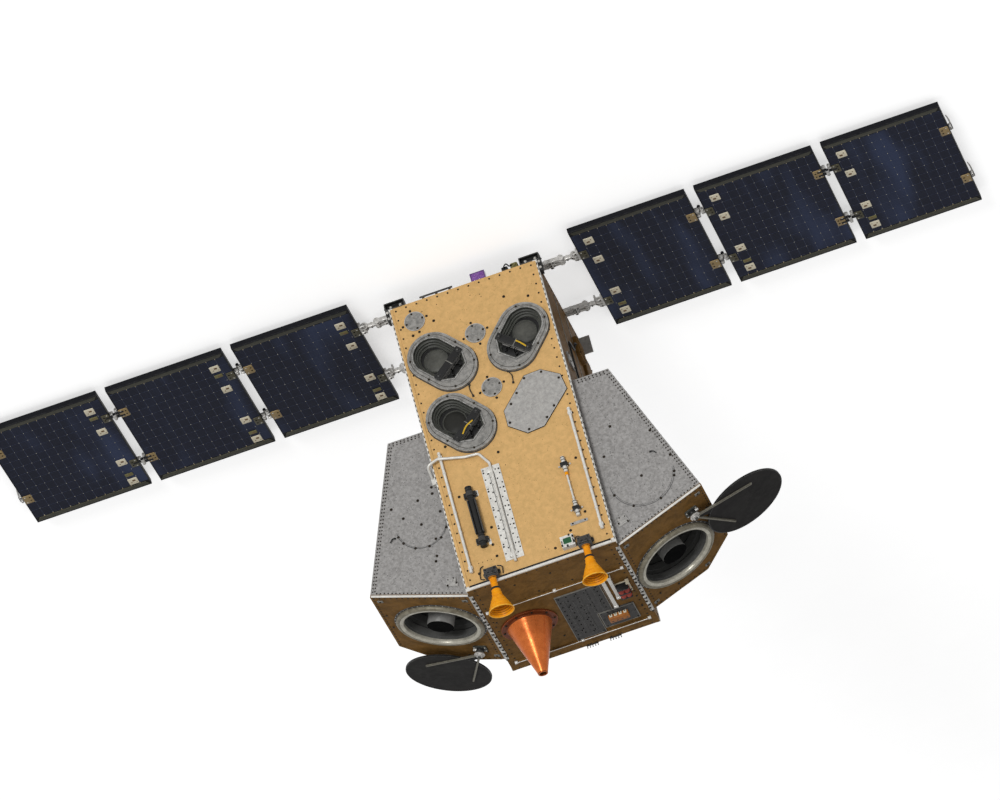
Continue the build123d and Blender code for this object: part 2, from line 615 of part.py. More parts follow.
# each: x, y, height above the strip's lower end
PIPE_ROUTE = (
    (pipe_start[0], pipe_over_rod, -83.0),
    (302.0, pipe_over_rod, -100.0),
    (187.0, pipe_low - PIPE_GAP, -75.0),
    (128.0, pipe_low, -71.0),
    (strip_middle - PIPE_RADIUS / 2, pipe_low, -11.0),
)
PIPE_TOP_DROP = 59.0
PIPE_CLIPS = ((strip_middle, strip_low + 47.0), (strip_middle, BOX_TOP - 100.0))   # x, z
pipe_points = [pipe_start]
for route_x, route_y, rise in PIPE_ROUTE:
    pipe_points.append((route_x, route_y, strip_low + rise))
pipe_points.append((strip_middle, pipe_low, BOX_TOP - PIPE_TOP_DROP))
with BuildPart() as feed_pipe:
    with BuildLine() as pipe_line:
        FilletPolyline(*pipe_points, radius=PIPE_BEND)
    with BuildSketch(Plane(origin=pipe_start, z_dir=Vector(pipe_points[1]) - Vector(pipe_start))):
        Circle(PIPE_RADIUS)
    sweep(path=pipe_line.wires()[0])
    with Locations((HALF_W + GLAND[0] / 2, pipe_start[1], pipe_start[2] + GLAND[2] / 4)):
        Box(*GLAND)
    foot = FRONT - STRIP_WALL
    for clip_x, clip_z in PIPE_CLIPS:
        with Locations((clip_x, (foot + pipe_low) / 2, clip_z)):
            Box(3 * PIPE_RADIUS, foot - pipe_low, 3 * PIPE_RADIUS)
finish(feed_pipe, "feed_pipe")

box_x, box_drop, box_width, box_height, box_rise = WINDOW_BOX
with BuildPart() as green_sensor:
    clamp(box_x, box_drop, box_width, box_height, box_rise)
finish(green_sensor, "green_sensor")

# ---------------------------------------------------------------- horns and cone
horn_foot = BOX_TOP - HORN_DROP
with BuildPart() as horn_brackets:
    for place_x in HORNS.values():
        with Locations((place_x, FRONT - HORN_BRACKET[1] / 2, horn_foot - HORN_BRACKET[2] / 2)):
            Box(*HORN_BRACKET)
finish(horn_brackets, "horn_brackets")


def horn_profile():
    """Half section of a horn: solid neck, joint ring, first flare, collar, second flare and lip."""
    outside = [(0, 0), (HORN_NECK[0], 0), HORN_NECK, (HORN_JOINT[0], HORN_NECK[1]), HORN_JOINT,
               HORN_SHOULDER, HORN_COLLAR, HORN_FLARE, HORN_LIP]
    inside = [(HORN_LIP[0] - HORN_WALL, HORN_LIP[1])]
    for radius, height in (HORN_FLARE, HORN_COLLAR, HORN_SHOULDER):
        inside.append((radius - HORN_WALL, height + HORN_WALL / 2))
    inside.append((HORN_JOINT[0] - HORN_WALL, HORN_JOINT[1] + HORN_WALL))
    inside.append((0, HORN_JOINT[1] + HORN_WALL))
    return outside + inside


horn_y = FRONT - HORN_OUT
for name, place_x in HORNS.items():
    with BuildPart() as horn:
        with BuildSketch(Plane(origin=(place_x, horn_y, horn_foot), x_dir=(1, 0, 0), z_dir=(0, -1, 0))):
            with BuildLine():
                Polyline(*horn_profile(), close=True)
            make_face()
        revolve(axis=Axis((place_x, horn_y, 0), (0, 0, 1)))
    finish(horn, f"horn_{name}")

with BuildPart() as cone_antenna:
    with BuildSketch(Plane(origin=(*CONE_PLACE, BOX_TOP), x_dir=(1, 0, 0), z_dir=(0, -1, 0))):
        with BuildLine():
            Polyline(
                (CONE_BASE - CONE_SKIRT, 0), (CONE_FOOT, 0), (CONE_FOOT, CONE_FLANGE),
                (CONE_BASE, CONE_FLANGE), (CONE_TIP, CONE_HEIGHT), (CONE_TIP - CONE_WALL, CONE_HEIGHT),
                (CONE_BASE - CONE_SKIRT, CONE_FLANGE + CONE_WALL), close=True,
            )
        make_face()
    revolve(axis=Axis((*CONE_PLACE, 0), (0, 0, 1)))
finish(cone_antenna, "cone_antenna")


# ---------------------------------------------------------------- top face fittings
def top_block(x0, x1, y0, y1, low, high):
    """Block over a rectangle of the top face, between two heights above it."""
    with Locations(((x0 + x1) / 2, (y0 + y1) / 2, BOX_TOP + (low + high) / 2)):
        Box(x1 - x0, y1 - y0, high - low)


with BuildPart() as instrument_plate:
    with BuildSketch(Plane.XY.offset(BOX_TOP)):
        with BuildLine():
            Polyline(*INSTRUMENT_PLATE, close=True)
        make_face()
    extrude(amount=PLATE_RISE)
finish(instrument_plate, "instrument_plate")

for node, x0, x1, y0, y1, rise in TOP_BLOCKS:
    with BuildPart() as block:
        top_block(x0, x1, y0, y1, 0, rise)
        if node == "connector_plate":
            top_block(*CONNECTOR_BLOCK[:4], rise, rise + CONNECTOR_BLOCK[4])
    finish(block, node)

with BuildPart() as top_rails:
    for rail_y in RAIL_PLACES:
        half = RAIL_SECTION[0] / 2
        top_block(RAIL_END - HALF_W, HALF_W - RAIL_END, rail_y - half, rail_y + half, 0, RAIL_SECTION[1])
finish(top_rails, "top_rails")

with BuildPart() as top_bars:
    for x0, x1, y0, y1, rise in TOP_BARS:
        top_block(x0, x1, y0, y1, 0, rise)
finish(top_bars, "top_bars")

# ---------------------------------------------------------------- edge strips
# bar along the front's top edge, and a strip along each pod front's edge with its end face
rail_half = HALF_W - ANGLE_LEG - GUARD_GAP
with BuildPart() as edge_trims:
    with Locations((0, FRONT - FRONT_RAIL[0] / 2, BOX_TOP - FRONT_RAIL[1] / 2)):
        Box(2 * rail_half, *FRONT_RAIL)
    for side in SIDES.values():
        with BuildSketch(end_plane(side)):
            with Locations((POD_END_LENGTH / 2, -side * TRIM_RISE / 2)):
                Rectangle(POD_END_LENGTH - TRIM_WIDTH, TRIM_RISE)
        extrude(amount=-TRIM_WIDTH)
finish(edge_trims, "edge_trims")

# strips over the seams between the top face and the pods' end faces, bent by the pods' tilt
with BuildPart() as seam_angles:
    for side in SIDES.values():
        bend = SEAM_WALL * tan(radians(POD_TILT / 2))
        down = on_end(side, SEAM_LIP, 0)
        raised = on_end(side, SEAM_LIP, 0, SEAM_WALL)
        inner = side * (HALF_W - SEAM_LEG)
        with BuildSketch(Plane.XZ.offset(-POD_FRONT)):
            with BuildLine():
                Polyline(
                    (inner, BOX_TOP), (side * HALF_W, BOX_TOP), (down.X, down.Z), (raised.X, raised.Z),
                    (side * (HALF_W + bend), BOX_TOP + SEAM_WALL), (inner, BOX_TOP + SEAM_WALL),
                    close=True,
                )
            make_face()
        extrude(amount=-POD_DEPTH)
finish(seam_angles, "seam_angles")

# ---------------------------------------------------------------- base fittings
guard_width, guard_depth, guard_height = CORNER_GUARD
guard_out = HALF_W + GUARD_OUT
with BuildPart() as corner_brackets:
    for side in SIDES.values():
        with Locations((side * (guard_out - guard_width / 2), FRONT + guard_depth / 2,
                        BOX_BOTTOM - guard_height / 2)):
            Box(*CORNER_GUARD)
        with Locations((side * (guard_out - guard_width / 2), FRONT, BOX_BOTTOM - guard_height / 2)):
            Box(guard_width - 2 * GUARD_WALL, guard_depth, guard_height - 2 * GUARD_WALL,
                mode=Mode.SUBTRACT)
        leg_in = HALF_W + ANGLE_WALL + GUARD_GAP
        with Locations((side * (leg_in + guard_out) / 2, FRONT + guard_depth / 2,
                        BOX_BOTTOM + GUARD_LEG / 2 - GUARD_WALL / 2)):
            Box(guard_out - leg_in, guard_depth, GUARD_LEG + GUARD_WALL)
finish(corner_brackets, "corner_brackets")

with BuildPart() as laser_reflector:
    with Locations((REFLECTOR_X, FRONT + FRAME_INSET - REFLECTOR[1] / 2, BOX_BOTTOM - REFLECTOR[2] / 2)):
        Box(*REFLECTOR)
finish(laser_reflector, "laser_reflector")

with BuildPart() as side_plate:
    with Locations((-(HALF_W + SIDE_PLATE[0] / 2), HALF_D - SIDE_PLATE_PLACE[0],
                    BOX_BOTTOM + SIDE_PLATE_PLACE[1])):
        Box(*SIDE_PLATE)
finish(side_plate, "side_plate")

# ---------------------------------------------------------------- wings
root_x = HALF_W + ROOT_HINGE_OUT
panel_start = HALF_W + WING_START
pitch = PANEL_LENGTH + PANEL_GAP


def knuckles(builder_mode, x, z, offsets, length, radius, bore):
    """Hinge knuckles along Y about the axis at x, z, at each hinge place."""
    for place in HINGE_PLACES:
        for offset in offsets:
            with Locations(Location((x, place + offset, z), (90, 0, 0))):
                Cylinder(radius, length, mode=builder_mode)
    if bore:
        for place in HINGE_PLACES:
            with Locations(Location((x, place, z), (90, 0, 0))):
                Cylinder(bore, 6 * length, mode=Mode.SUBTRACT)


clevis_step = KNUCKLE_LENGTH + KNUCKLE_GAP

for name, side in SIDES.items():
    # fixed root brackets on the base frame
    arm_from = HALF_W - FRAME_INSET
    foot_low = WING_Z - BRACKET_FOOT[2]
    with BuildPart() as root_bracket:
        knuckles(Mode.ADD, side * root_x, WING_Z, (-clevis_step, clevis_step), KNUCKLE_LENGTH,
                 ROOT_KNUCKLE, None)
        for place in HINGE_PLACES:
            for offset in (-clevis_step, clevis_step):
                with Locations((side * (arm_from + root_x) / 2, place + offset, WING_Z)):
                    Box(root_x - arm_from, KNUCKLE_LENGTH, BRACKET_ARM)
            with Locations((side * (arm_from + BRACKET_FOOT[0] / 2), place, (foot_low + BOX_BOTTOM) / 2)):
                Box(BRACKET_FOOT[0], BRACKET_FOOT[1], BOX_BOTTOM - foot_low)
            with Locations(Location((side * root_x, place, WING_Z), (90, 0, 0))):
                Cylinder(ROOT_PIN, 3 * KNUCKLE_LENGTH)
    finish(root_bracket, f"root_bracket_{name}")

    # yoke: knuckle, arm and fork plate at each place, fastened to the first panel's inner edge
    with BuildPart() as yoke:
        knuckles(Mode.ADD, side * root_x, WING_Z, (0,), KNUCKLE_LENGTH, ROOT_KNUCKLE, None)
        for place in HINGE_PLACES:
            arm_end = panel_start
            with Locations((side * (root_x + arm_end) / 2, place, WING_Z)):
                Box(arm_end - root_x, KNUCKLE_LENGTH, ARM_HEIGHT)
            with Locations((side * (arm_end - FORK_PLATE[0] / 2), place, WING_Z)):
                Box(*FORK_PLATE, PANEL_THICK)
        for place in HINGE_PLACES:
            with Locations(Location((side * root_x, place, WING_Z), (90, 0, 0))):
                Cylinder(ROOT_PIN + HINGE_CLEARANCE, 4 * KNUCKLE_LENGTH, mode=Mode.SUBTRACT)
    finish(yoke, f"yoke_{name}")

    for number in range(1, PANELS_PER_WING + 1):
        inner = panel_start + (number - 1) * pitch
        outer_edge = inner + PANEL_LENGTH
        hinge_in = inner - PANEL_GAP / 2
        hinge_out = outer_edge + PANEL_GAP / 2
        # the first gap folds about an axis under the panels, the next about one over them
        z_in = WING_Z + HINGE_OFFSET * (1 if number == 3 else -1)
        z_out = WING_Z + HINGE_OFFSET * (-1 if number == 1 else 1)
        with BuildPart() as panel:
            with Locations((side * (inner + PANEL_LENGTH / 2), 0, WING_Z)):
                Box(PANEL_LENGTH, PANEL_WIDTH, PANEL_THICK)
            if number > 1:
                face = WING_Z + (PANEL_THICK / 2 if z_in > WING_Z else -PANEL_THICK / 2)
                leaf_z = face + (LEAF_THICK / 2 if z_in > WING_Z else -LEAF_THICK / 2)
                knuckles(Mode.ADD, side * hinge_in, z_in, (0,), KNUCKLE_LENGTH, KNUCKLE_RADIUS, None)
                for place in HINGE_PLACES:
                    with Locations((side * (hinge_in + LEAF_LENGTH / 2), place, leaf_z)):
                        Box(LEAF_LENGTH, KNUCKLE_LENGTH, LEAF_THICK)
                for place in HINGE_PLACES:
                    with Locations(Location((side * hinge_in, place, z_in), (90, 0, 0))):
                        Cylinder(HINGE_PIN + HINGE_CLEARANCE, 4 * KNUCKLE_LENGTH, mode=Mode.SUBTRACT)
            if number < PANELS_PER_WING:
                face = WING_Z + (PANEL_THICK / 2 if z_out > WING_Z else -PANEL_THICK / 2)
                leaf_z = face + (LEAF_THICK / 2 if z_out > WING_Z else -LEAF_THICK / 2)
                knuckles(Mode.ADD, side * hinge_out, z_out, (-clevis_step, clevis_step),
                         KNUCKLE_LENGTH, KNUCKLE_RADIUS, None)
                for place in HINGE_PLACES:
                    for offset in (-clevis_step, clevis_step):
                        with Locations((side * (hinge_out - LEAF_LENGTH / 2), place + offset, leaf_z)):
                            Box(LEAF_LENGTH, KNUCKLE_LENGTH, LEAF_THICK)
                    with Locations(Location((side * hinge_out, place, z_out), (90, 0, 0))):
                        Cylinder(HINGE_PIN, 3 * KNUCKLE_LENGTH)
            else:
                for place in HINGE_PLACES:
                    with Locations((side * (outer_edge + TIP_STUB[0] / 2), place, WING_Z)):
                        Box(*TIP_STUB)
        finish(panel, f"solar_panel_{name}_{number}")
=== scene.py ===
"""Looks of an earth observation satellite: skins, fittings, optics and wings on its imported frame.

Shapes are worked out in millimetres in the frame's own axes (+Z up from the adapter ring, -Y out of
the front, +X along the right wing), and write_piece turns them into metres.
"""

import logging
import math
from dataclasses import dataclass, field
from enum import Enum
from typing import Callable, Sequence

import bpy
import numpy as np
from mathutils import Matrix, Vector


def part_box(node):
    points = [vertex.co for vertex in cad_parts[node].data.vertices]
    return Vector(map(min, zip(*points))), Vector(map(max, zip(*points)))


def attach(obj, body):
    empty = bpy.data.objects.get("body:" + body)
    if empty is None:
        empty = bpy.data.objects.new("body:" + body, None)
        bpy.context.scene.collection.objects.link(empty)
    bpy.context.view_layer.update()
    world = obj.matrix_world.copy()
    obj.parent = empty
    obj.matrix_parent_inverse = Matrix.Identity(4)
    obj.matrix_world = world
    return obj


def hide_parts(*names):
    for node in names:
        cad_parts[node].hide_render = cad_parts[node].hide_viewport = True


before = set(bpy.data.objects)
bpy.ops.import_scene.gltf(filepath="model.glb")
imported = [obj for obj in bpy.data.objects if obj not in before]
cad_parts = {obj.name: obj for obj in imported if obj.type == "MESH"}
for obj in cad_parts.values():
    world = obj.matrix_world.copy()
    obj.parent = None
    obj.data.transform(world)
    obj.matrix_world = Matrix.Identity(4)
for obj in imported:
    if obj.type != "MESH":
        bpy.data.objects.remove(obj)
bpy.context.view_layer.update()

LOG = logging.getLogger("satellite")
Array = np.ndarray
Colour = tuple[float, float, float]
MM = 0.001
SMOOTH_ANGLE = 32.0
MITRE_LIMIT = 0.2
FINE_TURN = 112
SENSOR_WIDTH = 36.0
POD_TILT = 20.0
POD_END_LENGTH = 439.0


class Side(Enum):
    """The two sides of the bus, with the sign of their x."""

    RIGHT = 1
    LEFT = -1

    @property
    def label(self) -> str:
        """Name used in the frame's nodes and bodies."""
        return self.name.lower()


# ------------------------------------------------------------------ shapes
@dataclass
class Shape:
    """A surface of flat faces.

    Attributes:
        points: Corner places, one row each, in millimetres.
        loops: Corner numbers of all faces, one face after the other.
        counts: How many corners each face has.
    """

    points: Array
    loops: Array
    counts: Array

    def moved(self, offset: Sequence[float]) -> "Shape":
        """The same surface shifted by an offset."""
        return Shape(self.points + np.asarray(offset, float), self.loops, self.counts)

    def turned(self, degrees: float, axis: str = "Z") -> "Shape":
        """The same surface turned about an axis through the origin."""
        matrix = np.array(Matrix.Rotation(math.radians(degrees), 3, axis))
        return Shape(self.points @ matrix.T, self.loops, self.counts)


def joined(shapes: Sequence[Shape]) -> Shape:
    """All shapes as one: their lists end to end, each loop list raised by the points before it.

    Args:
        shapes: Surfaces to put together.

    Returns:
        The one surface.
    """
    starts = np.cumsum([0] + [len(s.points) for s in shapes[:-1]])
    loops = [s.loops + start for s, start in zip(shapes, starts)]
    return Shape(np.concatenate([s.points for s in shapes]), np.concatenate(loops),
                 np.concatenate([s.counts for s in shapes]))


def loft(rings: Array, wrap: bool = True, caps: bool = True, ring_wrap: bool = False) -> Shape:
    """Quads between neighbouring rings of points.

    A face joins points (i, j), (i, j+1), (i+1, j+1), (i+1, j), so it points outwards where the
    rings run counter-clockwise as seen from the last ring.

    Args:
        rings: Array of shape (rings, points, 3).
        wrap: Whether each ring is closed.
        caps: Whether the first and last ring get one face each.
        ring_wrap: Whether the last ring joins the first.

    Returns:
        The surface.
    """
    rows, cols = rings.shape[:2]
    index = np.arange(rows * cols).reshape(rows, cols)
    if ring_wrap:
        index = np.vstack([index, index[:1]])
    if wrap:
        index = np.hstack([index, index[:, :1]])
    quads = np.stack([index[:-1, :-1], index[:-1, 1:], index[1:, 1:], index[1:, :-1]], axis=-1)
    loops, counts = quads.reshape(-1), np.full(quads.size // 4, 4)
    if caps and not ring_wrap:
        first = np.arange(cols)[::-1]
        last = np.arange(cols) + (rows - 1) * cols
        loops = np.concatenate([loops, first, last])
        counts = np.concatenate([counts, [cols, cols]])
    return Shape(rings.reshape(-1, 3), loops, counts)


def turning(profile: Sequence[Sequence[float]], count: int = 32, ring: bool = False) -> Shape:
    """A profile of (radius, height) turned about Z: point = (r cos a, r sin a, h) over the angle a.

    Args:
        profile: From the foot up the outside, and for a ring down the inside again.
        count: How many steps make the turn.
        ring: Whether the profile is closed, as for a hoop.

    Returns:
        The surface, closed at both ends unless it is a ring.
    """
    values = np.asarray(profile, float)
    angles = np.linspace(0, 2 * math.pi, count, endpoint=False)
    rings = np.stack([values[:, :1] * np.cos(angles), values[:, :1] * np.sin(angles),
                      np.repeat(values[:, 1:], count, axis=1)], axis=-1)
    return loft(rings, caps=not ring, ring_wrap=ring)


def inset(outline: Array, distance: float) -> Array:
    """Moves a counter-clockwise outline inwards by a distance.

    Each corner moves along the sum of its two edge normals, lengthened so that both edges move by
    the distance: step = d (n1 + n2) / (1 + n1 . n2).

    Args:
        outline: Corners, counter-clockwise.
        distance: How far; outwards if negative.

    Returns:
        The moved outline.
    """
    ahead = np.roll(outline, -1, axis=0) - outline
    ahead /= np.linalg.norm(ahead, axis=1, keepdims=True)
    normal = np.stack([-ahead[:, 1], ahead[:, 0]], axis=1)
    before = np.roll(normal, 1, axis=0)
    share = 1 + np.sum(normal * before, axis=1, keepdims=True)
    return outline + distance * (normal + before) / np.maximum(share, MITRE_LIMIT)


def at_height(outline: Array, height: float) -> Array:
    """The outline's points with a third coordinate."""
    return np.column_stack([outline, np.full(len(outline), height)])


def slab(outline: Array, low: float, high: float, bevel: float = 0.0) -> Shape:
    """A plate between two heights: rings of the outline, inset by the bevel at both faces.

    Args:
        outline: Corners, counter-clockwise.
        low: Lower height.
        high: Upper height.
        bevel: Width of the sloped upper edge.

    Returns:
        The closed plate.
    """
    if bevel <= 0:
        return loft(np.stack([at_height(outline, low), at_height(outline, high)]))
    tight, half = inset(outline, bevel), inset(outline, bevel * 0.3)
    return loft(np.stack([at_height(outline, low), at_height(outline, high - bevel),
                          at_height(half, high - bevel * 0.3), at_height(tight, high)]))


def framed(outer: Array, inner: Array, low: float, high: float, bevel: float = 0.0) -> Shape:
    """A plate with a hole: up the outer outline, over to the inner one, and down it again.

    Args:
        outer: Outer outline, counter-clockwise.
        inner: Hole outline with as many points, in the same order.
        low: Lower height.
        high: Upper height.
        bevel: Width of the sloped edges at the upper face.

    Returns:
        The closed surface.
    """
    edge = max(bevel, 0.01)
    rings = [at_height(outer, low), at_height(outer, high - edge),
             at_height(inset(outer, edge), high), at_height(inset(inner, -edge), high),
             at_height(inner, high - edge), at_height(inner, low)]
    return loft(np.stack(rings), ring_wrap=True)


def sheet(size: Sequence[float], heights: Sequence[float], place: Sequence[float],
        turn: float = 0.0) -> Shape:
    """A rectangular plate lying on a face.

    Args:
        size: Width, height and corner radius.
        heights: Lower and upper height, and the bevel of the upper edge.
        place: Its middle (u, v).
        turn: Angle about its middle in degrees.

    Returns:
        The plate.
    """
    shape = slab(box_outline(*size), *heights)
    return (shape.turned(turn) if turn else shape).moved((*place, 0))


def circle(radius: float, count: int = 32, centre: Sequence[float] = (0, 0)) -> Array:
    """Points (r cos a, r sin a) round a centre, counter-clockwise."""
    angles = np.linspace(0, 2 * math.pi, count, endpoint=False)
    return np.column_stack([np.cos(angles), np.sin(angles)]) * radius + np.asarray(centre, float)


def box_outline(width: float, height: float, corner: float = 0.0, steps: int = 3) -> Array:
    """A rectangle round the origin: four quarter circles of the corner radius, or four points.

    Args:
        width: Size in the first direction.
        height: Size in the second.
        corner: Corner radius.
        steps: Steps of each quarter circle.

    Returns:
        The outline, counter-clockwise.
    """
    half = np.array([width, height]) / 2
    if corner <= 0:
        return half * np.array([(-1, -1), (1, -1), (1, 1), (-1, 1)])
    parts = []
    for number, sign in enumerate([(-1, -1), (1, -1), (1, 1), (-1, 1)]):
        angles = np.radians(180 + 90 * number + np.linspace(0, 90, steps + 1))
        arc = np.column_stack([np.cos(angles), np.sin(angles)]) * corner
        parts.append(arc + np.array(sign) * (half - corner))
    return np.concatenate(parts)


def slot_outline(straight: float, radius: float, count: int = 40) -> Array:
    """An oval along X: two half circles of the radius, a straight stretch apart.

    Args:
        straight: Length of the straight stretch.
        radius: Radius of both ends.
        count: Number of points.

    Returns:
        The outline, counter-clockwise.
    """
    angles = np.linspace(-90, 90, count // 2)
    right = np.column_stack([np.cos(np.radians(angles)), np.sin(np.radians(angles))]) * radius
    left = -right
    return np.concatenate([right + (straight / 2, 0), left - (straight / 2, 0)])


def block(width: float, depth: float, height: float, bevel: float = 1.0) -> Shape:
    """A box on the plane z = 0, centred in x and y, with sloped upper edges."""
    return slab(box_outline(width, depth), 0, height, min(bevel, height / 2))


def curve_through(knots: Sequence[Sequence[float]], steps: int = 8) -> Array:
    """Smooth points through knots (Catmull-Rom): each span blends its four knots by cubics.

    Args:
        knots: Places that the curve passes.
        steps: Points for each span.

    Returns:
        Points along the curve.
    """
    k = np.asarray(knots, float)
    padded = np.vstack([2 * k[0] - k[1], k, 2 * k[-1] - k[-2]])
    t = np.linspace(0, 1, steps, endpoint=False)[:, None, None]
    a, b, c, d = padded[:-3], padded[1:-2], padded[2:-1], padded[3:]
    spans = 0.5 * (2 * b + (c - a) * t + (2 * a - 5 * b + 4 * c - d) * t**2
                   + (3 * b - a - 3 * c + d) * t**3)
    points = spans.transpose(1, 0, 2).reshape(-1, k.shape[1])
    return np.vstack([points, k[-1]])


def carried(section: Array, path: Array, up: Sequence[float] = (0, 0, 1)) -> Shape:
    """A closed section carried along a path.

    At each point the frame is the tangent t, the side s = t x up, and s x t, so a section point
    (a, b) lies at path + a s + b (s x t). Both ends are closed.

    Args:
        section: Closed outline (a, b).
        path: Points of the path.
        up: Direction that b leans towards.

    Returns:
        The closed surface.
    """
    path = np.asarray(path, float)
    tangent = np.gradient(path, axis=0)
    tangent /= np.linalg.norm(tangent, axis=1, keepdims=True)
    side = np.cross(tangent, np.asarray(up, float))
    length = np.linalg.norm(side, axis=1, keepdims=True)
    side = np.where(length > 1e-3, side / np.maximum(length, 1e-3), np.array([1.0, 0, 0]))
    over = np.cross(side, tangent)
    rings = (path[:, None] + section[None, :, :1] * side[:, None]
             + section[None, :, 1:] * over[:, None])
    return loft(rings[:, ::-1])


def wire(knots: Sequence[Sequence[float]], radius: float, up: Sequence[float] = (0, -1, 0.2),
         sides: int = 8, steps: int = 8) -> Shape:
    """A round wire along a smooth curve through knots."""
    return carried(circle(radius, sides), curve_through(knots, steps), up)


def copies(shape: Shape, places: Array, turns: Array | None = None) -> Shape:
    """One shape at many places at once: points = R(turn) p + place, by broadcasting.

    Args:
        shape: What is repeated.
        places: Array of shape (n, 3).
        turns: Angle of each copy about Z in degrees, or None.

    Returns:
        All the copies as one surface.
    """
    places = np.atleast_2d(np.asarray(places, float))
    number = len(places)
    angles = np.radians(np.zeros(number) if turns is None else np.asarray(turns, float))
    cos, sin = np.cos(angles)[:, None], np.sin(angles)[:, None]
    x, y, z = shape.points.T
    turned = np.stack([cos * x - sin * y, sin * x + cos * y, np.broadcast_to(z, (number, len(z)))],
                      -1)
    points = (turned + places[:, None]).reshape(-1, 3)
    loops = (shape.loops[None] + np.arange(number)[:, None] * len(shape.points)).reshape(-1)
    return Shape(points, loops, np.tile(shape.counts, number))


def rivet(radius: float, height: float, sides: int = 8) -> Shape:
    """A low dome: a rim, a shoulder and a flat crown."""
    return turning([(radius, -0.2), (radius * 0.94, height * 0.55), (radius * 0.6, height)], sides)


def bolt(radius: float, height: float) -> Shape:
    """A six-sided head on a round washer.

    Args:
        radius: Radius of the head.
        height: Height of the head.

    Returns:
        The bolt, on the plane z = 0.
    """
    washer = turning([(radius * 1.4, -0.2), (radius * 1.4, height * 0.25), (radius, height * 0.3)],
                     12)
    head = turning([(radius, height * 0.2), (radius, height * 0.85), (radius * 0.8, height)], 6)
    return joined([washer, head])


def spaced(start: float, end: float, pitch: float) -> Array:
    """Evenly spaced values from start to end, as near to the pitch as whole steps allow."""
    return np.linspace(start, end, max(int(round(abs(end - start) / pitch)), 1) + 1)


def line_places(start: Sequence[float], end: Sequence[float], pitch: float, height: float = 0.0,
                ends: bool = True) -> Array:
    """Places (u, v, height) along a straight line, evenly spaced.

    Args:
        start: First end (u, v).
        end: Last end (u, v).
        pitch: Distance from place to place.
        height: Third coordinate.
        ends: Whether both ends have a place.

    Returns:
        The places, one row each.
    """
    a, b = np.asarray(start, float), np.asarray(end, float)
    share = spaced(0, 1, pitch / np.linalg.norm(b - a))
    share = share if ends else share[1:-1]
    flat = a + (b - a) * share[:, None]
    return at_height(flat, height)


@dataclass(frozen=True)
class Facet:
    """A flat face of the bus with its own directions.

    Attributes:
        origin: Where (0, 0, 0) lies in the frame.
        across: Direction of the first coordinate.
        along: Direction of the second. The third is across x along, out of the face.
    """

    origin: tuple[float, float, float]
    across: tuple[float, float, float]
    along: tuple[float, float, float]

    def write(self, name: str, body: str, slot: str, layers: Sequence[tuple[Shape, "Skin"]],
              replaces: Sequence[str] = ()) -> None:
        """Writes a piece whose shapes all lie on this facet.

        Args:
            name: Name of the piece.
            body: Body that it moves with.
            slot: The record's material slot; not used.
            layers: Shapes in the facet's own directions with their finishes.
            replaces: Nodes that it stands for.
        """
        laid = [(self.lay(shape), skin) for shape, skin in layers]
        write_piece(name, body, laid, replaces)

    def lay(self, shape: Shape) -> Shape:
        """Places a shape: origin + u across + v along + w (across x along)."""
        axes = np.stack([self.across, self.along, np.cross(self.across, self.along)])
        return Shape(np.asarray(self.origin) + shape.points @ axes, shape.loops, shape.counts)

    def turned(self, centre: Sequence[float], degrees: float) -> "Facet":
        """A facet with its origin at (u, v[, w]) of this one and its first direction turned.

        Args:
            centre: New origin.
            degrees: Turn of the first direction.

        Returns:
            The new facet.
        """
        u, v, w = (*centre, 0.0)[:3]
        across, along = np.asarray(self.across), np.asarray(self.along)
        origin = np.asarray(self.origin) + u * across + v * along + w * np.cross(across, along)
        cos, sin = math.cos(math.radians(degrees)), math.sin(math.radians(degrees))
        return Facet(tuple(origin), tuple(cos * across + sin * along),
                     tuple(cos * along - sin * across))


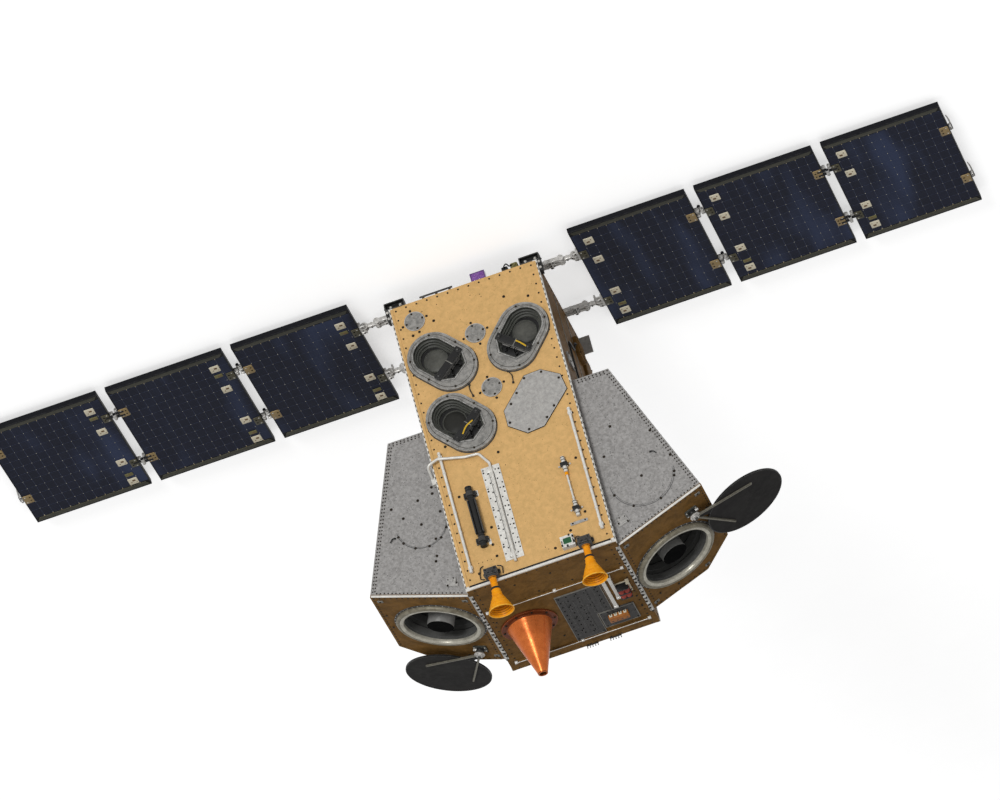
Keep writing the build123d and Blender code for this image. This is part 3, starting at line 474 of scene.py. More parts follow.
# ------------------------------------------------------------------ node graphs
class Graph:
    """Adds nodes to a shader tree and links them."""

    def __init__(self, tree: bpy.types.NodeTree) -> None:
        """Keeps the tree, emptied."""
        self.tree = tree
        tree.nodes.clear()

    def add(self, kind: str, inputs: dict | None = None, **settings: object) -> bpy.types.Node:
        """Adds a node.

        Args:
            kind: The node's type, without its ShaderNode prefix.
            inputs: Values or sockets by input name or number.
            settings: Properties of the node.

        Returns:
            The node.
        """
        node = self.tree.nodes.new("ShaderNode" + kind)
        for key, value in settings.items():
            setattr(node, key, value)
        for key, value in (inputs or {}).items():
            self.feed(node.inputs[key], value)
        return node

    def feed(self, socket: bpy.types.NodeSocket, value: object) -> None:
        """Links a socket into an input, or sets the input's value.

        Args:
            socket: Input to fill.
            value: A socket, a number, a vector or a colour.
        """
        if isinstance(value, bpy.types.NodeSocket):
            self.tree.links.new(value, socket)
        elif isinstance(value, (tuple, list)) and len(value) == 3 and socket.type == "RGBA":
            socket.default_value = (*value, 1.0)
        else:
            socket.default_value = value

    def math(self, operation: str, *values: object, clamp: bool = False) -> bpy.types.NodeSocket:
        """One arithmetic step on up to three values."""
        node = self.add("Math", dict(enumerate(values)), operation=operation, use_clamp=clamp)
        return node.outputs[0]

    def vector(self, operation: str, *values: object) -> bpy.types.NodeSocket:
        """One step on vectors; gives the vector result."""
        return self.add("VectorMath", dict(enumerate(values)), operation=operation).outputs[0]

    def blend(self, share: object, first: object, second: object) -> bpy.types.NodeSocket:
        """A colour between two, by a share."""
        node = self.add("Mix", {0: share, 6: first, 7: second}, data_type="RGBA")
        return node.outputs[2]

    def ramp(self, value: object, low: float, high: float, to_low: float = 0.0,
             to_high: float = 1.0) -> bpy.types.NodeSocket:
        """A value stretched from one range to another and held at its ends.

        Args:
            value: Value to stretch.
            low: Start of its range.
            high: End of its range.
            to_low: Result at the start.
            to_high: Result at the end.

        Returns:
            The stretched value.
        """
        node = self.add("MapRange", {"Value": value, "From Min": low, "From Max": high,
                                     "To Min": to_low, "To Max": to_high})
        return node.outputs[0]

    def use(self, group: bpy.types.NodeTree, **inputs: object) -> bpy.types.Node:
        """Places a shared effect with its own values.

        Args:
            group: The effect.
            inputs: Values or sockets by input name.

        Returns:
            The group node.
        """
        node = self.tree.nodes.new("ShaderNodeGroup")
        node.node_tree = group
        for key, value in inputs.items():
            self.feed(node.inputs[key.replace("_", " ").title()], value)
        return node


def effect(name: str, inputs: dict[str, tuple[str, object]], outputs: dict[str, str],
           build: Callable[[Graph, bpy.types.Node], dict[str, object]]) -> bpy.types.NodeTree:
    """Makes a shared effect once.

    Args:
        name: Name of the group.
        inputs: Socket kind and default of each input by name.
        outputs: Socket kind of each output by name.
        build: Fills the graph from the group's input node and gives the outputs' sockets.

    Returns:
        The group.
    """
    if name in bpy.data.node_groups:
        return bpy.data.node_groups[name]
    tree = bpy.data.node_groups.new(name, "ShaderNodeTree")
    for label, (kind, default) in inputs.items():
        socket = tree.interface.new_socket(label, in_out="INPUT", socket_type="NodeSocket" + kind)
        if default is not None:
            socket.default_value = default
    for label, kind in outputs.items():
        tree.interface.new_socket(label, in_out="OUTPUT", socket_type="NodeSocket" + kind)
    graph = Graph(tree)
    source = tree.nodes.new("NodeGroupInput")
    target = tree.nodes.new("NodeGroupOutput")
    for label, socket in build(graph, source).items():
        tree.links.new(socket, target.inputs[label])
    return tree


def mottled_tone() -> bpy.types.NodeTree:
    """Cloudy tone, 0 to 1: a coarse noise bent by a fine one, as on a brushed-on coating.

    Returns:
        The group.
    """
    def build(g: Graph, source: bpy.types.Node) -> dict[str, object]:
        """Adds the coarse and the fine noise by weight.

        Args:
            g: Graph of the effect.
            source: The group's input node.

        Returns:
            The output sockets by name.
        """
        place, scale = source.outputs["Vector"], source.outputs["Scale"]
        coarse = g.add("TexNoise", {"Vector": place, "Scale": scale, "Detail": 6.0,
                                    "Roughness": 0.62, "Distortion": 0.6}).outputs["Fac"]
        fine = g.add("TexNoise", {"Vector": place, "Scale": g.math("MULTIPLY", scale, 7.3),
                                  "Detail": 4.0, "Roughness": 0.7}).outputs["Fac"]
        tone = g.math("ADD", g.math("MULTIPLY", coarse, 0.65), g.math("MULTIPLY", fine, 0.35))
        return {"Tone": g.ramp(tone, 0.4, 0.6)}
    return effect("mottled_tone", {"Vector": ("Vector", None), "Scale": ("Float", 10.0)},
                  {"Tone": "Float"}, build)


def dark_specks() -> bpy.types.NodeTree:
    """Small round specks: the near core of scattered cells, kept in a chosen share of them.

    Returns:
        The group.
    """
    def build(g: Graph, source: bpy.types.Node) -> dict[str, object]:
        """Keeps the cores of the picked cells.

        Args:
            g: Graph of the effect.
            source: The group's input node.

        Returns:
            The output sockets by name.
        """
        cells = g.add("TexVoronoi", {"Vector": source.outputs["Vector"],
                                     "Scale": source.outputs["Scale"], "Randomness": 1.0})
        pick = g.add("SeparateColor", {"Color": cells.outputs["Color"]}).outputs["Red"]
        size = g.math("MULTIPLY", source.outputs["Size"], g.math("ADD", pick, 0.3))
        core = g.math("LESS_THAN", cells.outputs["Distance"], size)
        kept = g.math("LESS_THAN", pick, source.outputs["Share"])
        return {"Mask": g.math("MULTIPLY", core, kept)}
    return effect("dark_specks", {"Vector": ("Vector", None), "Scale": ("Float", 120.0),
                                  "Size": ("Float", 0.3), "Share": ("Float", 0.2)},
                  {"Mask": "Float"}, build)


def edge_wear() -> bpy.types.NodeTree:
    """Where edges are rubbed bright: how far a rounded normal leaves the true one, with noise.

    Returns:
        The group.
    """
    def build(g: Graph, source: bpy.types.Node) -> dict[str, object]:
        """Compares the rounded normal with the true one.

        Args:
            g: Graph of the effect.
            source: The group's input node.

        Returns:
            The output sockets by name.
        """
        soft = g.add("Bevel", {"Radius": source.outputs["Radius"]}, samples=4).outputs[0]
        true = g.add("NewGeometry").outputs["Normal"]
        match = g.add("VectorMath", {0: soft, 1: true}, operation="DOT_PRODUCT").outputs["Value"]
        edge = g.ramp(match, 0.985, 0.86)
        patch = g.add("TexNoise", {"Vector": source.outputs["Vector"], "Scale": 55.0,
                                   "Detail": 4.0})
        return {"Mask": g.math("MULTIPLY", edge, g.ramp(patch.outputs["Fac"], 0.35, 0.6),
                               clamp=True)}
    return effect("edge_wear", {"Vector": ("Vector", None), "Radius": ("Float", 0.002)},
                  {"Mask": "Float"}, build)


def fine_grain() -> bpy.types.NodeTree:
    """Height of a fine rolled or sprayed surface: two noises, one stretched along Z.

    Returns:
        The group.
    """
    def build(g: Graph, source: bpy.types.Node) -> dict[str, object]:
        """Adds the dots and the drawn-out lines by weight.

        Args:
            g: Graph of the effect.
            source: The group's input node.

        Returns:
            The output sockets by name.
        """
        place, scale = source.outputs["Vector"], source.outputs["Scale"]
        dots = g.add("TexNoise", {"Vector": place, "Scale": scale, "Detail": 3.0}).outputs["Fac"]
        long = g.vector("MULTIPLY", place, (1.0, 1.0, 0.08))
        lines = g.add("TexNoise", {"Vector": long, "Scale": scale, "Detail": 2.0}).outputs["Fac"]
        return {"Height": g.math("ADD", g.math("MULTIPLY", dots, 0.7),
                                 g.math("MULTIPLY", lines, 0.3))}
    return effect("fine_grain", {"Vector": ("Vector", None), "Scale": ("Float", 400.0)},
                  {"Height": "Float"}, build)


def streaks() -> bpy.types.NodeTree:
    """Runs and rubs, 0 to 1: noise drawn out along Z and thinned to a few marks.

    Returns:
        The group.
    """
    def build(g: Graph, source: bpy.types.Node) -> dict[str, object]:
        """Draws the noise out along Z and thins it.

        Args:
            g: Graph of the effect.
            source: The group's input node.

        Returns:
            The output sockets by name.
        """
        drawn = g.vector("MULTIPLY", source.outputs["Vector"], (1.0, 1.0, 0.12))
        noise = g.add("TexNoise", {"Vector": drawn, "Scale": source.outputs["Scale"], "Detail": 5.0,
                                   "Roughness": 0.65, "Distortion": 0.3}).outputs["Fac"]
        return {"Mask": g.ramp(noise, 0.55, 0.75)}
    return effect("streaks", {"Vector": ("Vector", None), "Scale": ("Float", 40.0)},
                  {"Mask": "Float"}, build)


# ------------------------------------------------------------------ finishes
def srgb(red: float, green: float, blue: float) -> Colour:
    """Screen colour of 0 to 255 as light: the sRGB curve undone on each channel.

    Args:
        red: Red, 0 to 255.
        green: Green, 0 to 255.
        blue: Blue, 0 to 255.

    Returns:
        The colour as light.
    """
    values = np.array([red, green, blue]) / 255
    light = np.where(values <= 0.04045, values / 12.92, ((values + 0.055) / 1.055) ** 2.4)
    return tuple(float(v) for v in light)


@dataclass(frozen=True)
class Skin:
    """A coated or bare metal surface.

    Attributes:
        name: Name of the material.
        tone: Main colour.
        cloud: Colour of its cloudy patches.
        cloud_scale: How many patches to the metre.
        cloud_share: How strongly the patches show.
        speck: Colour of its small specks.
        speck_scale: How many specks to the metre.
        speck_share: Which share of them shows.
        worn: Colour of its rubbed edges.
        worn_share: How strongly they show.
        worn_radius: Reach of the rubbing in metres.
        roughness: Middle roughness.
        spread: How far the roughness follows the patches.
        metallic: 1 for bare metal.
        grain_scale: How many grains to the metre.
        grain: Strength of the grain's relief.
        coat: Weight of a clear coat.
        specular: Strength of the plain reflection of a coated surface.
    """

    name: str
    tone: Colour
    cloud: Colour
    cloud_scale: float = 9.0
    cloud_share: float = 0.6
    speck: Colour = (0.03, 0.025, 0.02)
    speck_scale: float = 140.0
    speck_share: float = 0.0
    worn: Colour = (0.6, 0.58, 0.54)
    worn_share: float = 0.5
    worn_radius: float = 0.002
    roughness: float = 0.5
    spread: float = 0.15
    metallic: float = 0.0
    grain_scale: float = 420.0
    grain: float = 0.15
    coat: float = 0.0
    specular: float = 0.14

    def material(self) -> bpy.types.Material:
        """The material, made on first use.

        Returns:
            The material.
        """
        known = bpy.data.materials.get(self.name)
        if known is not None and known.get("made"):
            return known
        made = bpy.data.materials.new(self.name)
        made["made"] = True
        made.use_nodes = True
        g = Graph(made.node_tree)
        place = g.add("TexCoord").outputs["Object"]
        self.finish_surface(g, place, self.colour(g, place), 0.0)
        return made

    def colour(self, g: Graph, place: bpy.types.NodeSocket) -> bpy.types.NodeSocket:
        """Main colour with its cloudy patches."""
        cloud = g.use(mottled_tone(), vector=place, scale=self.cloud_scale).outputs["Tone"]
        return g.blend(g.math("MULTIPLY", cloud, self.cloud_share), self.tone, self.cloud)

    def finish_surface(self, g: Graph, place: bpy.types.NodeSocket, colour: bpy.types.NodeSocket,
                       relief: object) -> bpy.types.Node:
        """Adds specks, worn edges, grain and the shader.

        Args:
            g: The material's graph.
            place: Object coordinates.
            colour: The colour so far.
            relief: Extra height for the bump, or 0.

        Returns:
            The shader node.
        """
        if self.speck_share > 0:
            mask = g.use(dark_specks(), vector=place, scale=self.speck_scale,
                         share=self.speck_share)
            colour = g.blend(mask.outputs["Mask"], colour, self.speck)
        rub = g.use(edge_wear(), vector=place, radius=self.worn_radius).outputs["Mask"]
        colour = g.blend(g.math("MULTIPLY", rub, self.worn_share), colour, self.worn)
        cloud = g.use(mottled_tone(), vector=place, scale=self.cloud_scale * 3.1).outputs["Tone"]
        rough = g.math("ADD", g.math("MULTIPLY", g.math("SUBTRACT", cloud, 0.5), self.spread),
                       self.roughness, clamp=True)
        grain = g.use(fine_grain(), vector=place, scale=self.grain_scale).outputs["Height"]
        height = g.math("ADD", grain, relief)
        bump = g.add("Bump", {"Strength": self.grain, "Distance": 0.0006, "Height": height})
        shader = g.add("BsdfPrincipled", {"Base Color": colour, "Metallic": self.metallic,
                                          "Roughness": rough, "Normal": bump.outputs[0],
                                          "Coat Weight": self.coat,
                                          "Specular IOR Level": self.specular})
        output = g.add("OutputMaterial", {"Surface": shader.outputs[0]})
        output.is_active_output = True
        return shader


GOLD = Skin("gold_coat", srgb(209, 168, 110), srgb(184, 150, 96), cloud_scale=42, cloud_share=0.75,
            speck=srgb(138, 106, 60), speck_scale=110, speck_share=0.3, worn=srgb(236, 206, 150),
            worn_share=0.4, roughness=0.6, grain=0.4, grain_scale=260)
# Painted shade: a darker copy of the gold coat for the top, back, side and pod walls, on top of the
# shade the lights give them.
GOLD_PAINTED_SHADE = Skin("gold_coat_painted_shade", srgb(120, 88, 46), srgb(88, 64, 32), cloud_scale=18, cloud_share=0.85,
              speck=srgb(48, 36, 20), speck_scale=130, speck_share=0.2, worn=srgb(190, 170, 130),
              worn_share=0.4, roughness=0.55, grain=0.35, grain_scale=260, specular=0.04)
SPECKLED = Skin("speckled_alloy", srgb(158, 156, 154), srgb(122, 120, 118), cloud_scale=70,
                cloud_share=0.9, speck=srgb(98, 97, 96), speck_scale=96, speck_share=0.6,
                worn=srgb(220, 220, 218), roughness=0.5, grain=0.7, grain_scale=180)
PLATE = Skin("mottled_plate", srgb(172, 170, 166), srgb(136, 134, 132), cloud_scale=60,
             cloud_share=0.8, speck=srgb(110, 110, 108), speck_scale=220, speck_share=0.3,
             worn=srgb(225, 225, 224), worn_share=0.8, roughness=0.46, grain=0.4)
FLANGE_GREY = Skin("flange_alloy", srgb(150, 148, 144), srgb(106, 105, 102), cloud_scale=46,
                   cloud_share=0.95, speck=srgb(84, 84, 80), speck_scale=150, speck_share=0.4,
                   worn=srgb(226, 225, 222), worn_share=0.9, roughness=0.46, grain=0.4)
DARK_PLATE = Skin("dark_plate", srgb(66, 65, 64), srgb(50, 49, 48), cloud_scale=50, cloud_share=0.8,
                  speck=srgb(34, 34, 34), speck_scale=200, speck_share=0.3,
                  worn=srgb(150, 150, 148), worn_share=0.6, roughness=0.5)
MACHINED = Skin("machined_alloy", srgb(176, 174, 170), srgb(140, 138, 134), cloud_scale=30,
                worn=srgb(235, 234, 230), worn_share=0.7, roughness=0.34, metallic=0.7, grain=0.2)
BRIGHT = Skin("bright_alloy", srgb(214, 212, 206), srgb(178, 176, 170), cloud_scale=45,
              speck=srgb(110, 108, 104), speck_scale=300, speck_share=0.12,
              worn=srgb(250, 250, 248), worn_share=0.6, roughness=0.36, metallic=0.25, grain=0.18)
WHITE_TRIM = Skin("white_trim", srgb(222, 220, 214), srgb(176, 174, 168), cloud_scale=60,
                  speck=srgb(110, 108, 102), speck_scale=240, speck_share=0.25,
                  worn=srgb(250, 250, 250), roughness=0.42)
HINGE_METAL = Skin("hinge_metal", srgb(206, 204, 200), srgb(150, 148, 144), cloud_scale=80,
                   cloud_share=0.9, speck=srgb(70, 68, 64), speck_scale=260, speck_share=0.2,
                   worn=srgb(246, 245, 242), worn_share=0.9, roughness=0.34, metallic=0.35,
                   grain=0.2)
BLACK = Skin("black_anodised", srgb(28, 28, 28), srgb(18, 18, 18), cloud_scale=40,
             worn=srgb(110, 110, 108), worn_share=0.6, roughness=0.42, grain=0.2, specular=0.2)
BLACK_DEEP = Skin("black_baffle", srgb(7, 7, 7), srgb(4, 4, 4), cloud_scale=20,
                  worn=srgb(34, 34, 34), worn_share=0.3, roughness=0.8, specular=0.02)
COVER_BLACK = Skin("cover_sheet", srgb(44, 43, 42), srgb(35, 34, 34), cloud_scale=12,
                   cloud_share=0.8, speck=srgb(28, 28, 28), speck_scale=120, speck_share=0.1,
                   worn=srgb(110, 110, 106), worn_share=0.5, roughness=0.66, grain=0.3,
                   specular=0.06)
BOLT_DARK = Skin("dark_fastener", srgb(40, 34, 26), srgb(26, 22, 18), cloud_scale=90,
                 worn=srgb(140, 128, 106), worn_share=0.35, worn_radius=0.0006, roughness=0.42,
                 metallic=0.2)
BOLT_BRIGHT = Skin("bright_fastener", srgb(196, 194, 188), srgb(150, 148, 142), cloud_scale=90,
                   worn=srgb(245, 244, 240), worn_radius=0.0006, roughness=0.34, metallic=0.6)
AMBER = Skin("amber_coat", srgb(240, 160, 12), srgb(214, 128, 6), cloud_scale=40, cloud_share=0.7,
             speck=srgb(140, 84, 8), speck_scale=200, speck_share=0.12, worn=srgb(255, 206, 90),
             worn_share=0.6, roughness=0.38, grain=0.2)
COPPER = Skin("copper_coat", srgb(206, 112, 54), srgb(172, 84, 34), cloud_scale=24, cloud_share=0.7,
              speck=srgb(100, 44, 14), speck_scale=180, speck_share=0.14, worn=srgb(232, 150, 96),
              worn_share=0.5, roughness=0.3, metallic=0.35, grain=0.2)
COPPER_DARK = Skin("copper_flange", srgb(104, 50, 22), srgb(78, 36, 14), cloud_scale=40,
                   worn=srgb(190, 110, 66), worn_share=0.6, roughness=0.42, metallic=0.2)
PURPLE = Skin("violet_glass", srgb(120, 70, 150), srgb(86, 44, 116), cloud_scale=60,
              worn=srgb(200, 160, 220), worn_share=0.6, roughness=0.22, coat=0.6)
RED_COIL = Skin("red_enamel", srgb(150, 44, 30), srgb(112, 28, 20), cloud_scale=60,
                worn=srgb(220, 120, 100), worn_share=0.5, roughness=0.3, coat=0.4)
CREAM = Skin("cream_pad", srgb(222, 214, 192), srgb(196, 186, 160), cloud_scale=90,
             speck=srgb(120, 100, 70), speck_scale=260, speck_share=0.12, worn=srgb(246, 242, 230),
             roughness=0.55)
OLIVE = Skin("olive_part", srgb(112, 106, 66), srgb(84, 80, 48), cloud_scale=80,
             worn=srgb(180, 172, 130), worn_share=0.6, roughness=0.5)
TAN_PAD = Skin("tan_bracket", srgb(150, 128, 88), srgb(116, 96, 62), cloud_scale=80,
               worn=srgb(214, 200, 166), worn_share=0.7, roughness=0.45, metallic=0.2)
YELLOW = Skin("yellow_strap", srgb(206, 168, 40), srgb(168, 130, 24), cloud_scale=90,
              worn=srgb(240, 220, 130), worn_share=0.5, roughness=0.45)
CARBON = Skin("carbon_board", srgb(20, 21, 25), srgb(13, 14, 18), cloud_scale=30,
              worn=srgb(84, 84, 84), worn_share=0.5, roughness=0.5, specular=0.08)
GLASS_DARK = Skin("lens_glass", srgb(44, 44, 41), srgb(32, 32, 30), cloud_scale=10, cloud_share=0.7,
                  worn=srgb(110, 110, 108), worn_share=0.3, roughness=0.45, grain=0.0, specular=0.1)
MIRROR = Skin("polished_mirror", srgb(70, 72, 76), srgb(54, 56, 60), cloud_scale=6, cloud_share=0.5,
              worn=srgb(140, 140, 144), worn_share=0.3, roughness=0.14, metallic=0.8, grain=0.0)

RIM_DARK = Skin("rim_torus", srgb(132, 127, 112), srgb(96, 90, 76), cloud_scale=40, cloud_share=0.9,
                speck=srgb(60, 56, 46), speck_scale=240, speck_share=0.3, worn=srgb(190, 184, 170),
                worn_share=0.6, roughness=0.4, metallic=0.2, grain=0.3)
RIM_METAL = Skin("rim_metal", srgb(190, 186, 172), srgb(146, 142, 130), cloud_scale=34,
                 cloud_share=0.8, speck=srgb(90, 86, 78), speck_scale=260, speck_share=0.2,
                 worn=srgb(240, 238, 230), worn_share=0.8, roughness=0.34, metallic=0.35,
                 grain=0.25)
BAND_GREY = Skin("band_grey", srgb(84, 84, 84), srgb(58, 58, 58), cloud_scale=40,
                 worn=srgb(140, 140, 140), roughness=0.45)
HUB_GREY = Skin("hub_tube", srgb(150, 149, 146), srgb(112, 112, 110), cloud_scale=16,
                worn=srgb(150, 150, 150), roughness=0.36, metallic=0.3)
BARREL = Skin("barrel_lining", srgb(92, 92, 90), srgb(64, 64, 62), cloud_scale=14,
              worn=srgb(120, 120, 120), roughness=0.42, metallic=0.2)
STEP_GREY = Skin("step_grey", srgb(64, 65, 60), srgb(42, 43, 40), cloud_scale=30,
                 worn=srgb(150, 150, 144), worn_share=0.6, roughness=0.45)
STRUT_BEIGE = Skin("strut_tube", srgb(122, 118, 106), srgb(86, 83, 74), cloud_scale=60,
                   worn=srgb(220, 218, 208), worn_share=0.6, roughness=0.4, metallic=0.3)
BRIGHT_DARK = Skin("dull_alloy", srgb(112, 110, 104), srgb(84, 82, 78), cloud_scale=50,
                   worn=srgb(190, 188, 182), worn_share=0.6, roughness=0.42, metallic=0.2)
GROOVE_GREY = Skin("groove_line", srgb(74, 74, 73), srgb(56, 56, 55), cloud_scale=60,
                   worn=srgb(190, 190, 190), worn_share=0.5, roughness=0.5)
GREEN_GLASS = Skin("green_glass", srgb(22, 84, 46), srgb(12, 52, 28), cloud_scale=90,
                   worn=srgb(120, 200, 140), worn_share=0.4, roughness=0.24, specular=0.3)
# Lighter copy of the amber coat: painted highlight on the horns' lips.
AMBER_PAINTED_HIGHLIGHT = Skin("amber_lip", srgb(240, 178, 50), srgb(214, 146, 28), cloud_scale=60,
                   worn=srgb(255, 224, 140), worn_share=0.7, roughness=0.36)
# Darker copy of the amber coat: painted shade inside the horns, in their throats and at their feet.
AMBER_PAINTED_SHADE = Skin("amber_painted_shade", srgb(176, 108, 20), srgb(140, 80, 12), cloud_scale=60,
                  worn=srgb(230, 170, 80), worn_share=0.6, roughness=0.42)
ORANGE_BLOCK = Skin("orange_block", srgb(158, 96, 34), srgb(120, 68, 22), cloud_scale=70,
                    worn=srgb(214, 160, 96), worn_share=0.6, roughness=0.42)
CREAM_METAL = Skin("cream_metal", srgb(214, 206, 184), srgb(180, 170, 146), cloud_scale=90,
                   worn=srgb(250, 246, 234), roughness=0.4)
VIOLET_RIM = Skin("violet_rim", srgb(96, 64, 122), srgb(70, 44, 94), cloud_scale=60,
                  worn=srgb(190, 160, 206), worn_share=0.6, roughness=0.4)
MIRROR_TILE = Skin("mirror_tile", srgb(176, 180, 186), srgb(150, 154, 162), cloud_scale=14,
                   cloud_share=0.5, worn=srgb(230, 232, 236), roughness=0.16, metallic=0.7,
                   grain=0.02)
BROWN_MARK = Skin("brown_mark", srgb(112, 84, 52), srgb(80, 58, 34), cloud_scale=120,
                  worn=srgb(170, 140, 100), roughness=0.5)
OLIVE_DARK = Skin("dark_olive_plate", srgb(76, 72, 54), srgb(52, 50, 38), cloud_scale=90,
                  worn=srgb(170, 162, 130), worn_share=0.7, roughness=0.45, metallic=0.2)
CELL_SEAM = Skin("cell_seam", srgb(74, 82, 106), srgb(40, 47, 66), cloud_scale=160, cloud_share=0.9,
                 worn=srgb(80, 84, 96), worn_share=0.3, roughness=0.5, specular=0.05)
LENS_GREY = Skin("lens_grey", srgb(88, 88, 83), srgb(58, 58, 55), cloud_scale=9, cloud_share=0.8,
                 worn=srgb(150, 150, 148), worn_share=0.3, roughness=0.45, grain=0.0, specular=0.1)


@dataclass(frozen=True)
class CellSkin(Skin):
    """Solar cells: each cell of the grid has its own tone, thin contact lines, and soft blue bands
    of painted sheen.

    Attributes:
        pitch: Cell pitch along X and Y in metres.
        line_pitch: Distance of the contact lines in metres.
    """

    pitch: tuple[float, float] = (0.0405, 0.0675)
    line_pitch: float = 0.0135

    def colour(self, g: Graph, place: bpy.types.NodeSocket) -> bpy.types.NodeSocket:
        """Navy tone by cell, lightened on the contact lines and in wide bands of painted sheen.

        Args:
            g: The material's graph.
            place: Object coordinates.

        Returns:
            The colour.
        """
        split = g.add("SeparateXYZ", {0: place})
        column = g.math("FLOOR", g.math("DIVIDE", split.outputs["X"], self.pitch[0]))
        row = g.math("FLOOR", g.math("DIVIDE", split.outputs["Y"], self.pitch[1]))
        cell = g.add("CombineXYZ", {0: column, 1: row}).outputs[0]
        pick = g.add("TexWhiteNoise", {"Vector": cell}).outputs["Value"]
        tone = g.blend(pick, self.tone, self.cloud)
        # Painted sheen: soft wide bands drawn out along Y, lightened towards a pale blue.
        drawn = g.vector("MULTIPLY", place, (5.0, 0.9, 1.0))
        band = g.add("TexNoise", {"Vector": drawn, "Scale": 1.0, "Detail": 2.0}).outputs["Fac"]
        tone = g.blend(g.math("MULTIPLY", g.ramp(band, 0.5, 0.68), 0.42), tone, srgb(62, 76, 112))
        phase = g.math("FRACT", g.math("DIVIDE", split.outputs["Y"], self.line_pitch))
        line = g.math("LESS_THAN", phase, 0.05)
        return g.blend(g.math("MULTIPLY", line, 0.25), tone, srgb(90, 96, 112))


CELL = CellSkin("solar_cell", srgb(18, 22, 38), srgb(21, 25, 43), roughness=0.42, spread=0.05,
                worn=srgb(40, 46, 62), worn_share=0.05, worn_radius=0.0006, grain=0.02,
                specular=0.05)


@dataclass(frozen=True)
class HatchedSkin(Skin):
    """Edge rails wrapped in hatched tape: thin slanting lines over an olive-grey ground."""

    hatch: Colour = (0.05, 0.05, 0.045)
    hatch_pitch: float = 0.009

    def colour(self, g: Graph, place: bpy.types.NodeSocket) -> bpy.types.NodeSocket:
        """Cloudy ground with slanting lines: fract((x + y) / pitch) under a limit.

        Args:
            g: The material's graph.
            place: Object coordinates.

        Returns:
            The colour.
        """
        ground = Skin.colour(self, g, place)
        split = g.add("SeparateXYZ", {0: place})
        slant = g.math("ADD", split.outputs["X"], split.outputs["Y"])
        phase = g.math("FRACT", g.math("DIVIDE", slant, self.hatch_pitch))
        return g.blend(g.math("MULTIPLY", g.math("LESS_THAN", phase, 0.34), 0.7), ground,
                       self.hatch)


RAIL = HatchedSkin("hatched_rail", srgb(74, 73, 62), srgb(50, 50, 42), cloud_scale=60,
                   hatch=srgb(32, 32, 28), worn=srgb(140, 138, 124), roughness=0.55)


def write_piece(name: str, body: str, layers: Sequence[tuple[Shape, Skin]],
                replaces: Sequence[str] = ()) -> bpy.types.Object:
    """Puts shapes into one mesh, each with its finish, and lets the piece ride.

    Args:
        name: Name of the piece.
        body: Body that it moves with.
        layers: Shapes in millimetres with their finishes.
        replaces: Nodes that it stands for.

    Returns:
        The new object.
    """
    whole = joined([shape for shape, _ in layers])
    skins = list(dict.fromkeys(skin for _, skin in layers))
    marks = np.concatenate([np.full(len(shape.counts), skins.index(skin))
                            for shape, skin in layers])
    mesh = bpy.data.meshes.new(name)
    mesh.vertices.add(len(whole.points))
    mesh.vertices.foreach_set("co", (whole.points * MM).ravel())
    mesh.loops.add(len(whole.loops))
    mesh.loops.foreach_set("vertex_index", whole.loops.astype(np.int32))
    mesh.polygons.add(len(whole.counts))
    starts = np.concatenate([[0], np.cumsum(whole.counts)[:-1]])
    mesh.polygons.foreach_set("loop_start", starts.astype(np.int32))
    for skin in skins:
        mesh.materials.append(skin.material())
    mesh.polygons.foreach_set("material_index", marks.astype(np.int32))
    mesh.update(calc_edges=True)
    mesh.validate()
    mesh.polygons.foreach_set("use_smooth", np.ones(len(mesh.polygons), bool))
    mesh.set_sharp_from_angle(angle=math.radians(SMOOTH_ANGLE))
    piece = bpy.data.objects.new(name, mesh)
    bpy.context.scene.collection.objects.link(piece)
    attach(piece, body)
    if replaces:
        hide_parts(*replaces)
    LOG.info("%s: %d faces on %s", name, len(mesh.polygons), body)
    return piece


def dress(node: str, skin: Skin) -> None:
    """Gives a node of the frame a finish.

    Args:
        node: Name of the node.
        skin: Its finish.
    """
    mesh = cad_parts[node].data
    mesh.materials.clear()
    mesh.materials.append(skin.material())


def span(node: str) -> tuple[Array, Array]:
    """Lowest and highest corner of a node in millimetres."""
    low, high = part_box(node)
    return np.array(low) / MM, np.array(high) / MM


